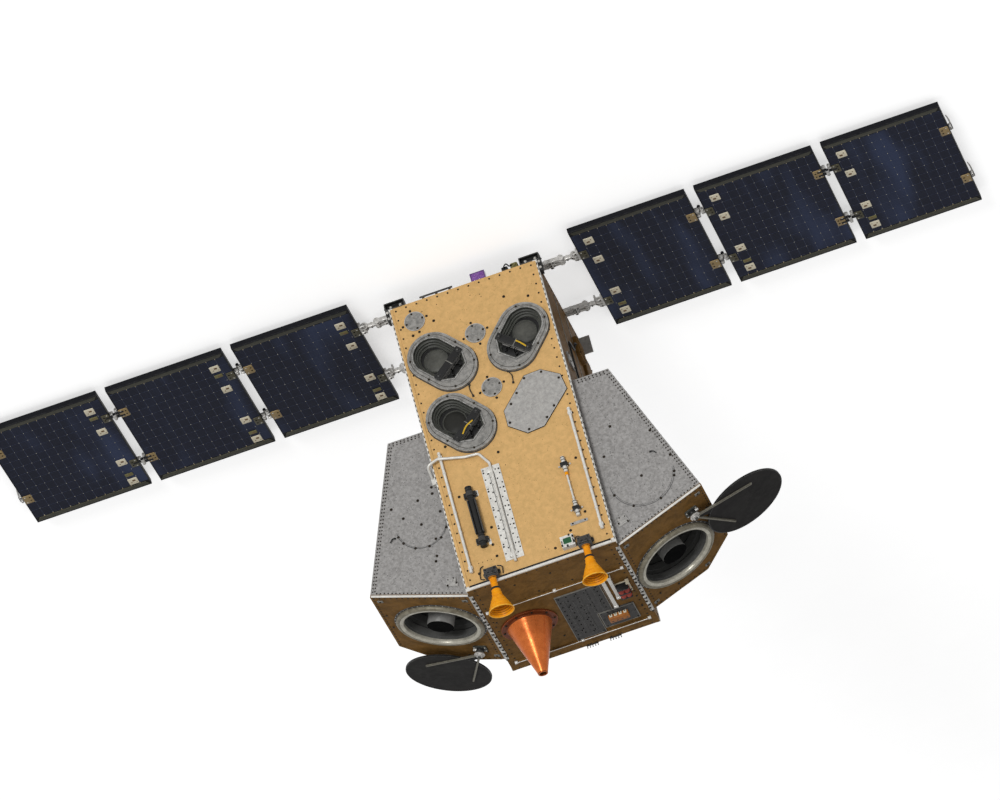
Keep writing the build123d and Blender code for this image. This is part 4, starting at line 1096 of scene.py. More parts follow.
# ------------------------------------------------------------------ studio
@dataclass
class Studio:
    """Floor, lights and camera.

    Attributes:
        eye: Camera place in metres.
        rows: Camera's right, down and forward directions.
        lens: Focal length for a 36 mm sensor.
        sun_from: Direction that the key light comes from.
        sun_power: Strength of the key light.
        sky: Strength of the plain light from all round.
        mirrored_sky: Strength of the sky where it is mirrored.
        floor_glow: Share of the floor's white that is its own.
        floor_reach: Half the floor's width.
    """

    eye: tuple[float, float, float] = (-5.2815, -45.0208, 25.2859)
    rows: tuple[tuple[float, float, float], ...] = (
        (-0.94124, 0.24125, 0.23636), (0.32176, 0.42773, 0.8447), (0.10269, 0.87111, -0.48022))
    lens: float = 432.0
    sun_from: tuple[float, float, float] = (0.2, -0.96, 0.2)
    sun_power: float = 1.75
    sky: float = 0.52
    mirrored_sky: float = 0.7
    floor_glow: float = 0.55
    floor_reach: float = 120.0

    def build(self) -> None:
        """Makes everything that isn't part of the object."""
        self.floor()
        self.lights()
        self.camera()

    def camera(self) -> None:
        """Places the camera by its three directions."""
        data = bpy.data.cameras.new("camera")
        data.lens, data.sensor_width = self.lens, SENSOR_WIDTH
        data.clip_start, data.clip_end = 1.0, 400.0
        right, down, ahead = (Vector(row) for row in self.rows)
        turn = Matrix((right, -down, -ahead)).transposed().to_4x4()
        camera = bpy.data.objects.new("camera", data)
        camera.matrix_world = Matrix.Translation(self.eye) @ turn
        bpy.context.scene.collection.objects.link(camera)
        bpy.context.scene.camera = camera
        bpy.context.scene.view_settings.view_transform = "Standard"

    def lights(self) -> None:
        """One soft key light and a plain sky that is white where it is seen or mirrored."""
        data = bpy.data.lights.new("key", "SUN")
        data.energy, data.angle = self.sun_power, math.radians(14)
        key = bpy.data.objects.new("key", data)
        key.rotation_mode = "QUATERNION"
        key.rotation_quaternion = Vector(self.sun_from).to_track_quat("Z", "Y")
        bpy.context.scene.collection.objects.link(key)
        world = bpy.data.worlds.new("sky")
        world.use_nodes = True
        g = Graph(world.node_tree)
        rays = g.add("LightPath")
        seen = g.math("MAXIMUM", rays.outputs["Is Camera Ray"], rays.outputs["Is Transmission Ray"])
        strength = g.math("MAXIMUM", seen, self.sky)
        strength = g.math("MAXIMUM", strength, g.math("MULTIPLY", rays.outputs["Is Glossy Ray"],
                                                      self.mirrored_sky))
        light = g.add("Background", {"Color": (1.0, 1.0, 1.0), "Strength": strength})
        g.add("OutputWorld", {"Surface": light.outputs[0]})
        bpy.context.scene.world = world

    def floor(self) -> None:
        """A wide pale floor under the adapter ring, which keeps the shadow."""
        reach = self.floor_reach
        mesh = bpy.data.meshes.new("floor")
        mesh.from_pydata([(-reach, -reach, 0), (reach, -reach, 0), (reach, reach, 0),
                          (-reach, reach, 0)], [], [(0, 1, 2, 3)])
        made = bpy.data.materials.new("pale_floor")
        made.use_nodes = True
        g = Graph(made.node_tree)
        place = g.add("TexCoord").outputs["Object"]
        cloud = g.use(mottled_tone(), vector=place, scale=1.2).outputs["Tone"]
        colour = g.blend(cloud, (0.80, 0.80, 0.80), (0.82, 0.82, 0.82))
        rays = g.add("LightPath")
        seen = g.math("MAXIMUM", rays.outputs["Is Camera Ray"], rays.outputs["Is Glossy Ray"])
        seen = g.math("MAXIMUM", seen, rays.outputs["Is Transmission Ray"])
        glow = g.math("MULTIPLY", seen, self.floor_glow)
        shader = g.add("BsdfPrincipled", {"Base Color": colour, "Roughness": 0.9,
                                          "Specular IOR Level": 0.0,
                                          "Emission Color": (1.0, 1.0, 1.0),
                                          "Emission Strength": glow})
        g.add("OutputMaterial", {"Surface": shader.outputs[0]})
        mesh.materials.append(made)
        floor = bpy.data.objects.new("floor", mesh)
        bpy.context.scene.collection.objects.link(floor)


# ------------------------------------------------------------------ the bus and its faces
@dataclass
class Bus:
    """The box body and its pods: sizes read from the frame, and a facet for each face."""

    half_width: float = field(init=False)
    front: float = field(init=False)
    back: float = field(init=False)
    bottom: float = field(init=False)
    top: float = field(init=False)
    pod_front: float = field(init=False)
    pod_back: float = field(init=False)

    def __post_init__(self) -> None:
        """Reads the sizes."""
        low, high = span("front_panel")
        self.half_width, self.front = float(high[0]), float(low[1])
        self.bottom, self.top = float(low[2]), float(high[2])
        self.back = float(span("back_panel")[1][1])
        self.pod_front = float(span("pod_front_right")[0][1])
        self.pod_back = float(span("pod_shell_right")[1][1])

    @property
    def height(self) -> float:
        """Height of the box."""
        return self.top - self.bottom

    def face_front(self) -> Facet:
        """Front face: x across, height above the box's lower edge along."""
        return Facet((0, self.front, self.bottom), (1, 0, 0), (0, 0, 1))

    def face_back(self) -> Facet:
        """Back face: -x across, height along."""
        return Facet((0, self.back, self.bottom), (-1, 0, 0), (0, 0, 1))

    def face_side(self, side: Side) -> Facet:
        """Side face: y (on the left, -y) across, height along."""
        s = side.value
        return Facet((s * self.half_width, 0, self.bottom), (0, s, 0), (0, 0, 1))

    def face_top(self) -> Facet:
        """Top face: x across, y along."""
        return Facet((0, 0, self.top), (1, 0, 0), (0, 1, 0))

    def face_pod_front(self) -> Facet:
        """Plane of the pods' fronts: x across, height along."""
        return Facet((0, self.pod_front, self.bottom), (1, 0, 0), (0, 0, 1))

    def face_pod_end(self, side: Side) -> Facet:
        """Leaning end face: way out from the bus across, way back along (on the left, forward).

        Args:
            side: Which pod.

        Returns:
            The facet, with its origin at the top front edge.
        """
        s, tilt = side.value, math.radians(POD_TILT)
        return Facet((s * self.half_width, self.pod_front, self.top),
                     (s * math.cos(tilt), 0, -math.sin(tilt)), (0, s, 0))


FINISHES: dict[str, Skin] = {
    "front_panel": GOLD, "back_panel": GOLD_PAINTED_SHADE, "bus_floor": GOLD, "top_panel": GOLD_PAINTED_SHADE,
    "corner_angles": WHITE_TRIM, "edge_trims": WHITE_TRIM, "seam_angles": MACHINED,
    "adapter_ring": MACHINED, "base_frame": MACHINED, "disc_plates": FLANGE_GREY,
    "octagon_plate": PLATE, "instrument_plate": DARK_PLATE, "connector_plate": DARK_PLATE,
    "relay_coil": RED_COIL, "top_rails": GOLD_PAINTED_SHADE, "top_bars": BRIGHT, "long_rods": WHITE_TRIM,
    "perforated_strip": WHITE_TRIM, "feed_pipe": BRIGHT, "torque_rod": BLACK,
    "sensor_rod": BRIGHT, "green_sensor": WHITE_TRIM, "horn_brackets": DARK_PLATE,
    "cone_antenna": COPPER, "corner_brackets": BLACK, "laser_reflector": PURPLE,
    "side_plate": PLATE,
}
PAIRED_FINISHES: dict[str, Skin] = {
    "side_panel": GOLD_PAINTED_SHADE, "pod_end": GOLD_PAINTED_SHADE, "pod_shell": GOLD_PAINTED_SHADE, "pod_front": SPECKLED,
    "telescope_barrel": BARREL, "telescope_optics": BARREL, "cover": COVER_BLACK,
    "cover_post": STEP_GREY, "horn": AMBER, "root_bracket": HINGE_METAL, "yoke": HINGE_METAL,
}


def dress_frame() -> None:
    """Gives every node of the frame its finish."""
    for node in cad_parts:
        if node.startswith("solar_panel"):
            dress(node, CARBON)
        elif node.startswith("star_tracker"):
            dress(node, FLANGE_GREY)
        elif node in FINISHES:
            dress(node, FINISHES[node])
        else:
            dress(node, PAIRED_FINISHES[node.rsplit("_", 1)[0]])
    LOG.info("%d nodes dressed", len(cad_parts))


@dataclass
class BusSkin:
    """Rivets, edge strips and bolts over the bus walls and pods.

    Attributes:
        bus: The body.
        rivet_radius: Radius of a wall rivet.
        rivet_pitch: Distance from rivet to rivet along an edge.
        edge: Distance of the rivet rows from the edges.
    """

    bus: Bus
    rivet_radius: float = 4.4
    rivet_pitch: float = 47.0
    edge: float = 27.0

    def build(self) -> None:
        """Makes all the fasteners and strips of the walls."""
        self.front_rivets()
        self.wall_rivets()
        self.front_strips()
        self.top_rivets()
        for side in Side:
            self.pod_rivets(side)

    def head(self) -> Shape:
        """A wall rivet."""
        return rivet(self.rivet_radius, 2.4)

    def front_rivets(self) -> None:
        """Rows of rivets inside all four edges of the front."""
        bus, gap = self.bus, self.edge
        wide = bus.half_width - gap
        rows = [line_places((wide, 18), (wide, bus.height - 48), self.rivet_pitch),
                line_places((-wide, 18), (-wide, bus.height - 48), self.rivet_pitch),
                line_places((-wide, 14), (wide, 14), self.rivet_pitch, ends=False)]
        shape = bus.face_front().lay(copies(self.head(), np.concatenate(rows)))
        write_piece("front_rivets", "bus", [(shape, BOLT_DARK)])

    def wall_rivets(self) -> None:
        """Rivet rows on the side walls and the back."""
        bus, gap = self.bus, self.edge
        parts = []
        for side in Side:
            deep = -bus.front - gap
            rows = [line_places((y, 20), (y, bus.height - 20), self.rivet_pitch)
                    for y in (-deep, deep)]
            rows.append(line_places((-deep, 20), (deep, 20), self.rivet_pitch, ends=False))
            parts.append(bus.face_side(side).lay(copies(self.head(), np.concatenate(rows))))
        wide = bus.half_width - gap
        rows = [line_places((x, 20), (x, bus.height - 20), self.rivet_pitch)
                for x in (-wide, 0, wide)]
        rows += [line_places((-wide, z), (wide, z), self.rivet_pitch, ends=False)
                 for z in (20, bus.height / 3, bus.height * 2 / 3, bus.height - 20)]
        parts.append(bus.face_back().lay(copies(self.head(), np.concatenate(rows))))
        write_piece("wall_rivets", "bus", [(joined(parts), BOLT_DARK)])

    def front_strips(self) -> None:
        """Dark bolted strip under the top edge, and the dashed seam beside the right edge."""
        bus = self.bus
        facet = bus.face_front()
        wide = bus.half_width - 18
        band = sheet((2 * wide, 11), (0, 1.6, 0.5), (0, bus.height - 16.5))
        bolts = copies(bolt(3.2, 3.2), line_places((-wide + 12, bus.height - 16.5),
                                                   (wide - 12, bus.height - 16.5), 41, 1.6))
        fills, dashes = [], []
        for s in (-1, 1):
            x = s * (bus.half_width - 9.5)
            fills.append(sheet((12, bus.height - 24), (0, 2.9, 0.4), (x, bus.height / 2 - 8)))
            edge = s * (bus.half_width - 1)
            dash = slab(box_outline(3.4, 13), 2.4, 3.4, 0.3)
            dashes.append(copies(dash, line_places((edge, 20), (edge, bus.height - 20), 26)))
        facet.write("front_strips", "bus", "bright_metal",
                    [(band, BLACK), (bolts, BOLT_DARK), (joined(fills), GOLD),
                     (joined(dashes), BOLT_DARK)])
        self.side_seams()

    def side_seams(self) -> None:
        """Tabs and bolts in turn down both side walls, in the step between front and pods."""
        bus, floor = self.bus, float(span("pod_shell_right")[0][2])
        light, dark, heads = [], [], []
        for side in Side:
            face, s = bus.face_side(side), side.value
            y = s * (bus.front + 33)
            line = sheet((11, floor - 30), (0, 2.4, 0.7), (s * (bus.front + 27), floor / 2 + 4))
            light.append(face.lay(line))
            for number, z in enumerate(spaced(floor + 14, bus.height - 16, 31)):
                tab = sheet((20, 21, 2), (0, 3.2, 0.9), (y, z), 6 * (number % 3 - 1))
                (light if number % 3 else dark).append(face.lay(tab))
                head = bolt(4.2, 4.2).moved((y + s * (number % 2 * 8 - 4), z + 15.5, 0))
                heads.append(face.lay(head))
        write_piece("side_seams", "bus",
                    [(joined(light), MACHINED), (joined(dark), BRIGHT), (joined(heads), BOLT_DARK)])

    def top_rivets(self) -> None:
        """Rivets round the top face, and bolts along the seam strips."""
        bus, gap = self.bus, self.edge + 6
        facet = bus.face_top()
        wide, front, back = bus.half_width - gap, bus.front + 14, bus.back - 14
        rows = [line_places((-wide, front), (wide, front), self.rivet_pitch),
                line_places((-wide, back), (wide, back), self.rivet_pitch)]
        rows += [line_places((x, front), (x, back), self.rivet_pitch, ends=False)
                 for x in (-wide, wide)]
        heads = facet.lay(copies(self.head(), np.concatenate(rows)))
        seam_bolts = [facet.lay(copies(bolt(3.2, 3.0),
                                       line_places((s * (bus.half_width - 8.5), bus.pod_front + 14),
                                                   (s * (bus.half_width - 8.5), bus.pod_back - 14),
                                                   38, 2.5))) for s in (-1, 1)]
        write_piece("top_rivets", "bus",
                    [(heads, BOLT_DARK), (joined(seam_bolts), BOLT_DARK)])

    def pod_outline(self, side: Side) -> Array:
        """Corners of a pod's front in the plane of the fronts: top edge, outer edge and floor.

        Args:
            side: Which pod.

        Returns:
            The four corners.
        """
        bus, tilt = self.bus, math.radians(POD_TILT)
        low = span(f"pod_front_{side.label}")[0]
        s, length = side.value, POD_END_LENGTH
        inner, outer = bus.half_width, bus.half_width + length * math.cos(tilt)
        top = bus.height
        drop = length * math.sin(tilt)
        floor = float(low[2]) - bus.bottom
        lean = (top - drop - floor) * math.tan(tilt)
        corners = np.array([(inner, floor), (outer - lean, floor), (outer, top - drop),
                            (inner, top)])
        return corners * (s, 1)

    def pod_rivets(self, side: Side) -> None:
        """Small rivets in staggered double rows inside the pod front's edges and round its end.

        Args:
            side: Which pod.
        """
        bus = self.bus
        ring = self.pod_outline(side)
        ring = ring if side is Side.RIGHT else ring[::-1]
        near, far = inset(ring, 9.0), inset(ring, 19.0)
        rows = []
        for outline, shift in ((near, 0.0), (far, 0.5)):
            for number in range(4):
                start, end = outline[number], outline[(number + 1) % 4]
                if abs(start[0]) < bus.half_width + 30 and abs(end[0]) < bus.half_width + 30:
                    continue
                places = line_places(start, end, 17.0)
                rows.append(places[:-1] + (places[1] - places[0]) * shift)
        heads = bus.face_pod_front().lay(copies(rivet(3.5, 2.4, 8), np.concatenate(rows)))
        facet = bus.face_pod_end(side)
        s, depth = side.value, bus.pod_back - bus.pod_front
        lines = [((22, 10), (POD_END_LENGTH - 14, 10)),
                 ((22, depth - 12), (POD_END_LENGTH - 165, depth - 12)),
                 ((POD_END_LENGTH - 12, 14), (POD_END_LENGTH - 12, depth - 165)),
                 ((22, 24), (22, depth - 24))]
        places = [line_places((a[0], s * a[1]), (b[0], s * b[1]), 26) for a, b in lines]
        ends = facet.lay(copies(rivet(3.8, 2.2), np.concatenate(places)))
        write_piece(f"pod_rivets_{side.label}", "bus",
                    [(heads, BOLT_DARK), (ends, BOLT_DARK)])


# ------------------------------------------------------------------ telescopes and covers
@dataclass
class Telescope:
    """Rim, baffles, hub and mirror of one leaning telescope.

    Attributes:
        bus: The body.
        side: Which pod it is in.
        out: Middle of the mouth, out from the bus along the end face.
        back: Middle of the mouth, back from the pod front.
        bore: Inner radius of the barrel.
        rim: Outer radius of the rim.
        hub: Radius of the central tube.
        hub_top: Height of its mouth over the end face.
    """

    bus: Bus
    side: Side
    out: float
    back: float
    hub_top: float = -2.4
    bore: float = 158.0
    rim: float = 190.0
    hub: float = 57.0

    def facet(self) -> Facet:
        """Facet in the mouth's plane with its middle at the origin."""
        return self.bus.face_pod_end(self.side).turned((self.out, self.side.value * self.back), 0.0)

    def build(self) -> None:
        """Makes the rim, the inner rings, the hub and the mirror."""
        self.rim_and_baffles(self.facet())
        self.hub_and_mirror(self.facet())

    def rim_and_baffles(self, facet: Facet) -> None:
        """Rounded rim with its bright inner lip, flange, studs and inner baffles.

        Args:
            facet: The face that carries them.
        """
        r, b = self.rim, self.bore
        rim = turning([(r - 1, 0.4), (r + 1.4, 4), (r + 1.4, 9.5), (r - 0.6, 14.6), (r - 5, 18.4),
                       (r - 10, 19.6), (r - 14, 18.8), (r - 16.4, 17.2), (r - 16.6, 10),
                       (r - 4, 2)], FINE_TURN, ring=True)
        groove = turning([(b - 0.7, 1), (r - 16, 1), (r - 16, 17), (r - 18, 18.6), (r - 21, 18.4),
                          (b + 5, 17.2), (b + 1, 14.6), (b - 0.7, 9)], FINE_TURN, ring=True)
        flange = turning([(r, 0.2), (r + 9, 0.2), (r + 9, 1.8), (r + 8, 2.6), (r, 2.6)], FINE_TURN,
                         ring=True)
        studs = copies(rivet(2.4, 1.6, 6), at_height(circle(r + 5.4, 44), 2.5))
        baffles = [turning([(b - 0.3, -d), (b - 3, -d - 0.8), (b - 3, -d - 3),
                            (b - 0.3, -d - 4)][::-1], FINE_TURN, ring=True)
                   for d in (38, 92, 160, 240, 330)]
        bands = [turning([(b - 0.4, -d), (b - 1.6, -d), (b - 1.6, -d - 2.6),
                          (b - 0.4, -d - 2.6)][::-1], FINE_TURN, ring=True)
                 for d in (10, 62, 122, 200)]
        facet.write(f"telescope_rim_{self.side.label}", "bus", "telescope_barrel",
                    [(rim, RIM_DARK), (groove, RIM_METAL), (flange, DARK_PLATE),
                     (studs, BOLT_BRIGHT), (joined(baffles), BLACK), (joined(bands), BAND_GREY)])

    def hub_and_mirror(self, facet: Facet) -> None:
        """Central tube with its bands over the dished mirror, its mouth closed by a black disc of
        painted shade.

        Args:
            facet: The face that carries them.
        """
        h, b = self.hub, self.bore
        top = self.hub_top
        hub = turning([(h + 0.5, -300), (h + 0.5, top - 1.4), (h, top), (h - 1.4, top),
                       (h - 1.8, top - 2), (h - 1.8, -300)], 72, ring=True)
        bands = [turning([(h + 0.4, -d - 4), (h + 1.8, -d - 3), (h + 1.8, -d - 1), (h + 0.4, -d)],
                         72, ring=True) for d in (34, 70, 110)]
        mirror = turning([(b - 1, -438), (b - 1, -432), (110, -436), (h + 1, -439.5), (h + 1, -442),
                          (b - 1, -442)][::-1], FINE_TURN, ring=True)
        # Painted shade: a black disc over the tube's mouth and lip stands for the dark hollow
        # inside.
        plug = turning([(h - 1.7, top - 9), (h - 1.7, top - 0.6), (h + 0.3, top - 0.4),
                        (h + 0.2, top + 0.5), (h - 3, top + 0.8), (30, top + 0.4), (0.4, top)], 60)
        facet.write(f"telescope_hub_{self.side.label}", "bus", "telescope_optics",
                    [(hub, HUB_GREY), (joined(bands), BAND_GREY), (mirror, MIRROR),
                     (plug, BLACK_DEEP)])


@dataclass
class Cover:
    """A swinging telescope cover, open: its rim, struts and boss.

    Attributes:
        bus: The body.
        side: Which pod it belongs to.
        pivot: Pivot place on the end face, out and back.
        disc: Direction of the disc's middle from the pivot, in degrees in the facet.
        reach: Distance of the disc's middle from the pivot.
        radius: Radius of the disc.
        low: Height of its lower face over the end face.
        wall: Its thickness.
        strut_length: Length of each strut from the pivot.
        strut_spread: Angle of each strut from the middle line.
        strut_height: Height of a strut's middle.
    """

    bus: Bus
    side: Side
    pivot: tuple[float, float]
    disc: float
    reach: float
    radius: float = 187.0
    low: float = 25.0
    wall: float = 6.0
    strut_length: float = 285.0
    strut_spread: float = 24.0
    strut_height: float = 33.25

    def build(self) -> None:
        """Makes the cover's rim, ribs, struts and boss over its plain sheet."""
        place = (self.pivot[0], self.side.value * self.pivot[1])
        facet = self.bus.face_pod_end(self.side).turned(place, self.disc)
        high, low, r = self.low + self.wall, self.low, self.radius
        rim = turning([(r - 4, low - 0.5), (r + 0.1, low - 0.5), (r + 0.1, high + 0.4),
                       (r - 1.6, high + 1.2), (r - 4, high + 0.6)], FINE_TURN,
                      ring=True).moved((self.reach, 0, 0))
        under = [turning([(q, low - 1), (q + 2.4, low - 1), (q + 2.4, low + 1), (q, low + 1)], 96,
                         ring=True).moved((self.reach, 0, 0)) for q in (60, 118, 158)]
        struts, fittings = [], []
        for turn in (-self.strut_spread, self.strut_spread):
            path = np.array([(12, 0, 0), (self.strut_length + 1, 0, 0)],
                            float) + (0, 0, self.strut_height)
            struts.append(carried(box_outline(9.8, 9.8, 2.2, 2), path).turned(turn))
            heads = np.array([(self.strut_length - 3, 0, high + 4.4),
                              (self.strut_length - 12, 0, high + 4.4)])
            fittings.append(copies(rivet(2, 1), heads).turned(turn))
        boss = turning([(16, high), (16, high + 10.4), (13, high + 12.6), (9, high + 12.6)], 28)
        collar = turning([(15.6, high - 1), (23, high - 1), (23, high + 3), (21, high + 4.6),
                          (15.6, high + 4.6)], 28, ring=True)
        bolts = copies(bolt(2.2, 2.6), at_height(circle(19.4, 6), high + 4.4))
        body = f"cover_{self.side.label}"
        facet.write(f"cover_frame_{self.side.label}", body, "cover_black",
                    [(rim, BLACK), (joined(under), BLACK)])
        facet.write(f"cover_struts_{self.side.label}", body, "hinge_metal",
                    [(joined(struts), STRUT_BEIGE), (joined(fittings), HINGE_METAL),
                     (collar, HINGE_METAL), (bolts, BOLT_BRIGHT), (boss, HINGE_METAL)])
        self.post(self.bus.face_pod_end(self.side).turned(place, 0.0))

    def post(self, facet: Facet) -> None:
        """Bolts and a spring housing on the fixed pivot post.

        Args:
            facet: The face that carries them.
        """
        corners = np.array([(x, y, 7.4) for x in (-23, 23) for y in (-15, 15)])
        housing = turning([(17.4, 7), (17.4, 17), (16, 19.5), (15.2, 19.5), (15.2, 7)], 28,
                          ring=True)
        lug = sheet((18, 12, 3), (7.2, 15, 1.2), (22, 0))
        facet.write(f"cover_post_parts_{self.side.label}", "bus", "hinge_metal",
                    [(copies(bolt(3, 3.4), corners), BOLT_BRIGHT), (housing, BLACK), (lug, BRIGHT)])


# ------------------------------------------------------------------ star trackers
@dataclass
class StarTracker:
    """Dressing of one star tracker: flange beads, stepped recess, lens, bar and strap.

    Attributes:
        bus: The body.
        name: Its letter.
        place: Its middle on the front.
        turn: Direction of its bar end in degrees.
        glass: Finish of the lens.
        strap: Knots (u, v) of the yellow strap, or none.
        straight: Straight stretch of the oval flange.
        radius: End radius of the flange.
        rise: Height of the flange.
        recess: Half width of the recess.
        recess_centre: Middle of its round end.
        shoulder: Where its cut corners start.
        end: Its flat end.
        cut: Width of each cut corner.
        lens_centre: Middle of the lens.
    """

    bus: Bus
    name: str
    place: tuple[float, float]
    turn: float
    glass: Skin
    strap: tuple[tuple[float, float], ...] = ()
    straight: float = 102.0
    radius: float = 112.0
    rise: float = 18.0
    recess: float = 80.0
    recess_centre: float = -60.0
    shoulder: float = 46.0
    end: float = 96.0
    cut: float = 40.0
    lens_centre: float = -45.0

    def recess_outline(self, grow: float = 0.0) -> Array:
        """Recess outline: half a circle at the lens end, two cut corners at the bar end.

        Args:
            grow: How far outside the recess.

        Returns:
            The outline, counter-clockwise.
        """
        half, end = self.recess + grow, self.end + grow
        angles = np.radians(np.linspace(90, 270, 33))
        arc = np.column_stack([np.cos(angles), np.sin(angles)]) * half + (self.recess_centre, 0)
        bar = [(self.shoulder, -half), (end, self.cut - half), (end, half - self.cut),
               (self.shoulder, half)]
        return np.concatenate([arc, np.array(bar)])

    def oval(self, shrink: float) -> Array:
        """Outline of the flange, shrunk by a distance."""
        return slot_outline(self.straight, self.radius - shrink, 64)

    def build(self) -> None:
        """Makes the flange's beads, the optics and the bar."""
        facet = self.bus.face_front().turned(self.place, self.turn)
        self.flange(facet)
        self.optics(facet)
        self.bar(facet)

    def flange(self, facet: Facet) -> None:
        """Edge lip, dark groove, bead round the recess and six bolts.

        Args:
            facet: The face that carries them.
        """
        top = self.rise
        lip = framed(self.oval(-0.8), self.oval(2.6), top - 3, top + 1.2, 0.9)
        foot = framed(self.oval(-3.4), self.oval(-0.4), 0, 4, 1.4)
        groove = framed(self.oval(11.5), self.oval(13.6), top, top + 0.5, 0.2)
        bead = framed(self.recess_outline(4.4), self.recess_outline(1.2), top, top + 1.8, 0.9)
        shade = framed(self.recess_outline(6.6), self.recess_outline(4.8), top, top + 0.4, 0.15)
        places = [(0, -101), (0, 101)] + [(sx * 122, sy * 71) for sx in (-1, 1) for sy in (-1, 1)]
        bolts = copies(bolt(3.8, 3.6), at_height(np.array(places, float), top))
        facet.write(f"tracker_flange_{self.name}", "bus", "tracker_grey",
                    [(lip, FLANGE_GREY), (foot, DARK_PLATE), (groove, BOLT_DARK),
                     (bead, FLANGE_GREY), (shade, DARK_PLATE), (bolts, BOLT_DARK)])

    def optics(self, facet: Facet) -> None:
        """Stepped dark walls down to the floor, and the lens in its ring.

        Args:
            facet: The face that carries them.
        """
        top = self.rise
        steps = [(0.3, -34), (0.3, top + 1), (2.2, top + 1), (3.0, 4), (9, 1.4), (9.6, -9),
                 (15.5, -11.4), (16, -21), (23, -24), (23, -34)]
        outline = self.recess_outline()
        walls = loft(np.stack([at_height(inset(outline, d), h) for d, h in steps]), ring_wrap=True)
        floor = slab(inset(outline, 1.5), -35.6, -33, 0)
        ring = turning([(56, -33.5), (56, -29), (54, -26.6), (51, -26.6), (49.6, -28),
                        (49.6, -33.5)], 64, ring=True)
        glass = turning([(50, -33), (49.6, -28.6), (44, -26), (30, -23.6), (15, -22), (0.4, -21.6)],
                        64)
        middle = (self.lens_centre, 0, 0)
        facet.write(f"tracker_optics_{self.name}", "bus", "tracker_grey",
                    [(walls, STEP_GREY), (floor, BLACK), (ring.moved(middle), STEP_GREY),
                     (glass.moved(middle), self.glass)])

    def bar(self, facet: Facet) -> None:
        """Black bar with a light strap, the plate behind it, its plugs and leads.

        Args:
            facet: The face that carries them.
        """
        cap = sheet((33, 172, 3), (25.6, 29.4, 1.6), (35, 0))
        ends = [sheet((26, 18, 2), (29.2, 32.6, 1.2), (35, v)) for v in (-72, 72)]
        strap = sheet((36, 4), (29.2, 30.6, 0.4), (36, 6))
        plate = slab(np.array([(51, -75.0), (91, -39), (91, 39), (51, 75)]), -12.4, -8, 1.2)
        plugs = [turning([(6.5, -8.4), (6.5, 4), (5, 6), (2.5, 6)], 16).moved((72, v, 0))
                 for v in (-26, 26)]
        leads = [wire([(72, v, 4), (70, v * 0.8, 13), (60, v * 0.5, 12), (50.5, v * 0.4, 6)], 2.2,
                      (0, 1, 0.2)) for v in (-26, 26)]
        screws = copies(bolt(2.6, 2.8), np.array([(58, -56, -8.2), (58, 56, -8.2), (84, -32, -8.2),
                                                  (84, 32, -8.2), (35, -72, 32.4), (35, 72, 32.4)]))
        layers = [(facet.lay(cap), BLACK), (facet.lay(joined(ends)), BLACK),
                  (facet.lay(strap), BRIGHT_DARK), (facet.lay(plate), BLACK),
                  (facet.lay(joined(plugs)), BLACK), (facet.lay(joined(leads)), BLACK_DEEP),
                  (facet.lay(screws), DARK_PLATE)]
        if self.strap:
            path = curve_through([(u, v, 30.6) for u, v in self.strap])
            layers.append((facet.lay(carried(box_outline(6, 2.4), path)), YELLOW))
        write_piece(f"tracker_bar_{self.name}", "bus", layers)


# ------------------------------------------------------------------ fittings of the front
def studs(places: Sequence[Sequence[float]], shape: Shape, height: float = 0.0) -> Shape:
    """A fastener at each place (u, v) of a face, at one height."""
    return copies(shape, at_height(np.array(places, float), height))


def ribbon(knots: Sequence[Sequence[float]], width: float, thick: float,
           smooth: bool = False) -> Shape:
    """A flat strip along places (u, v, height)."""
    path = curve_through(knots) if smooth else np.array(knots, float)
    return carried(box_outline(width, thick), path)


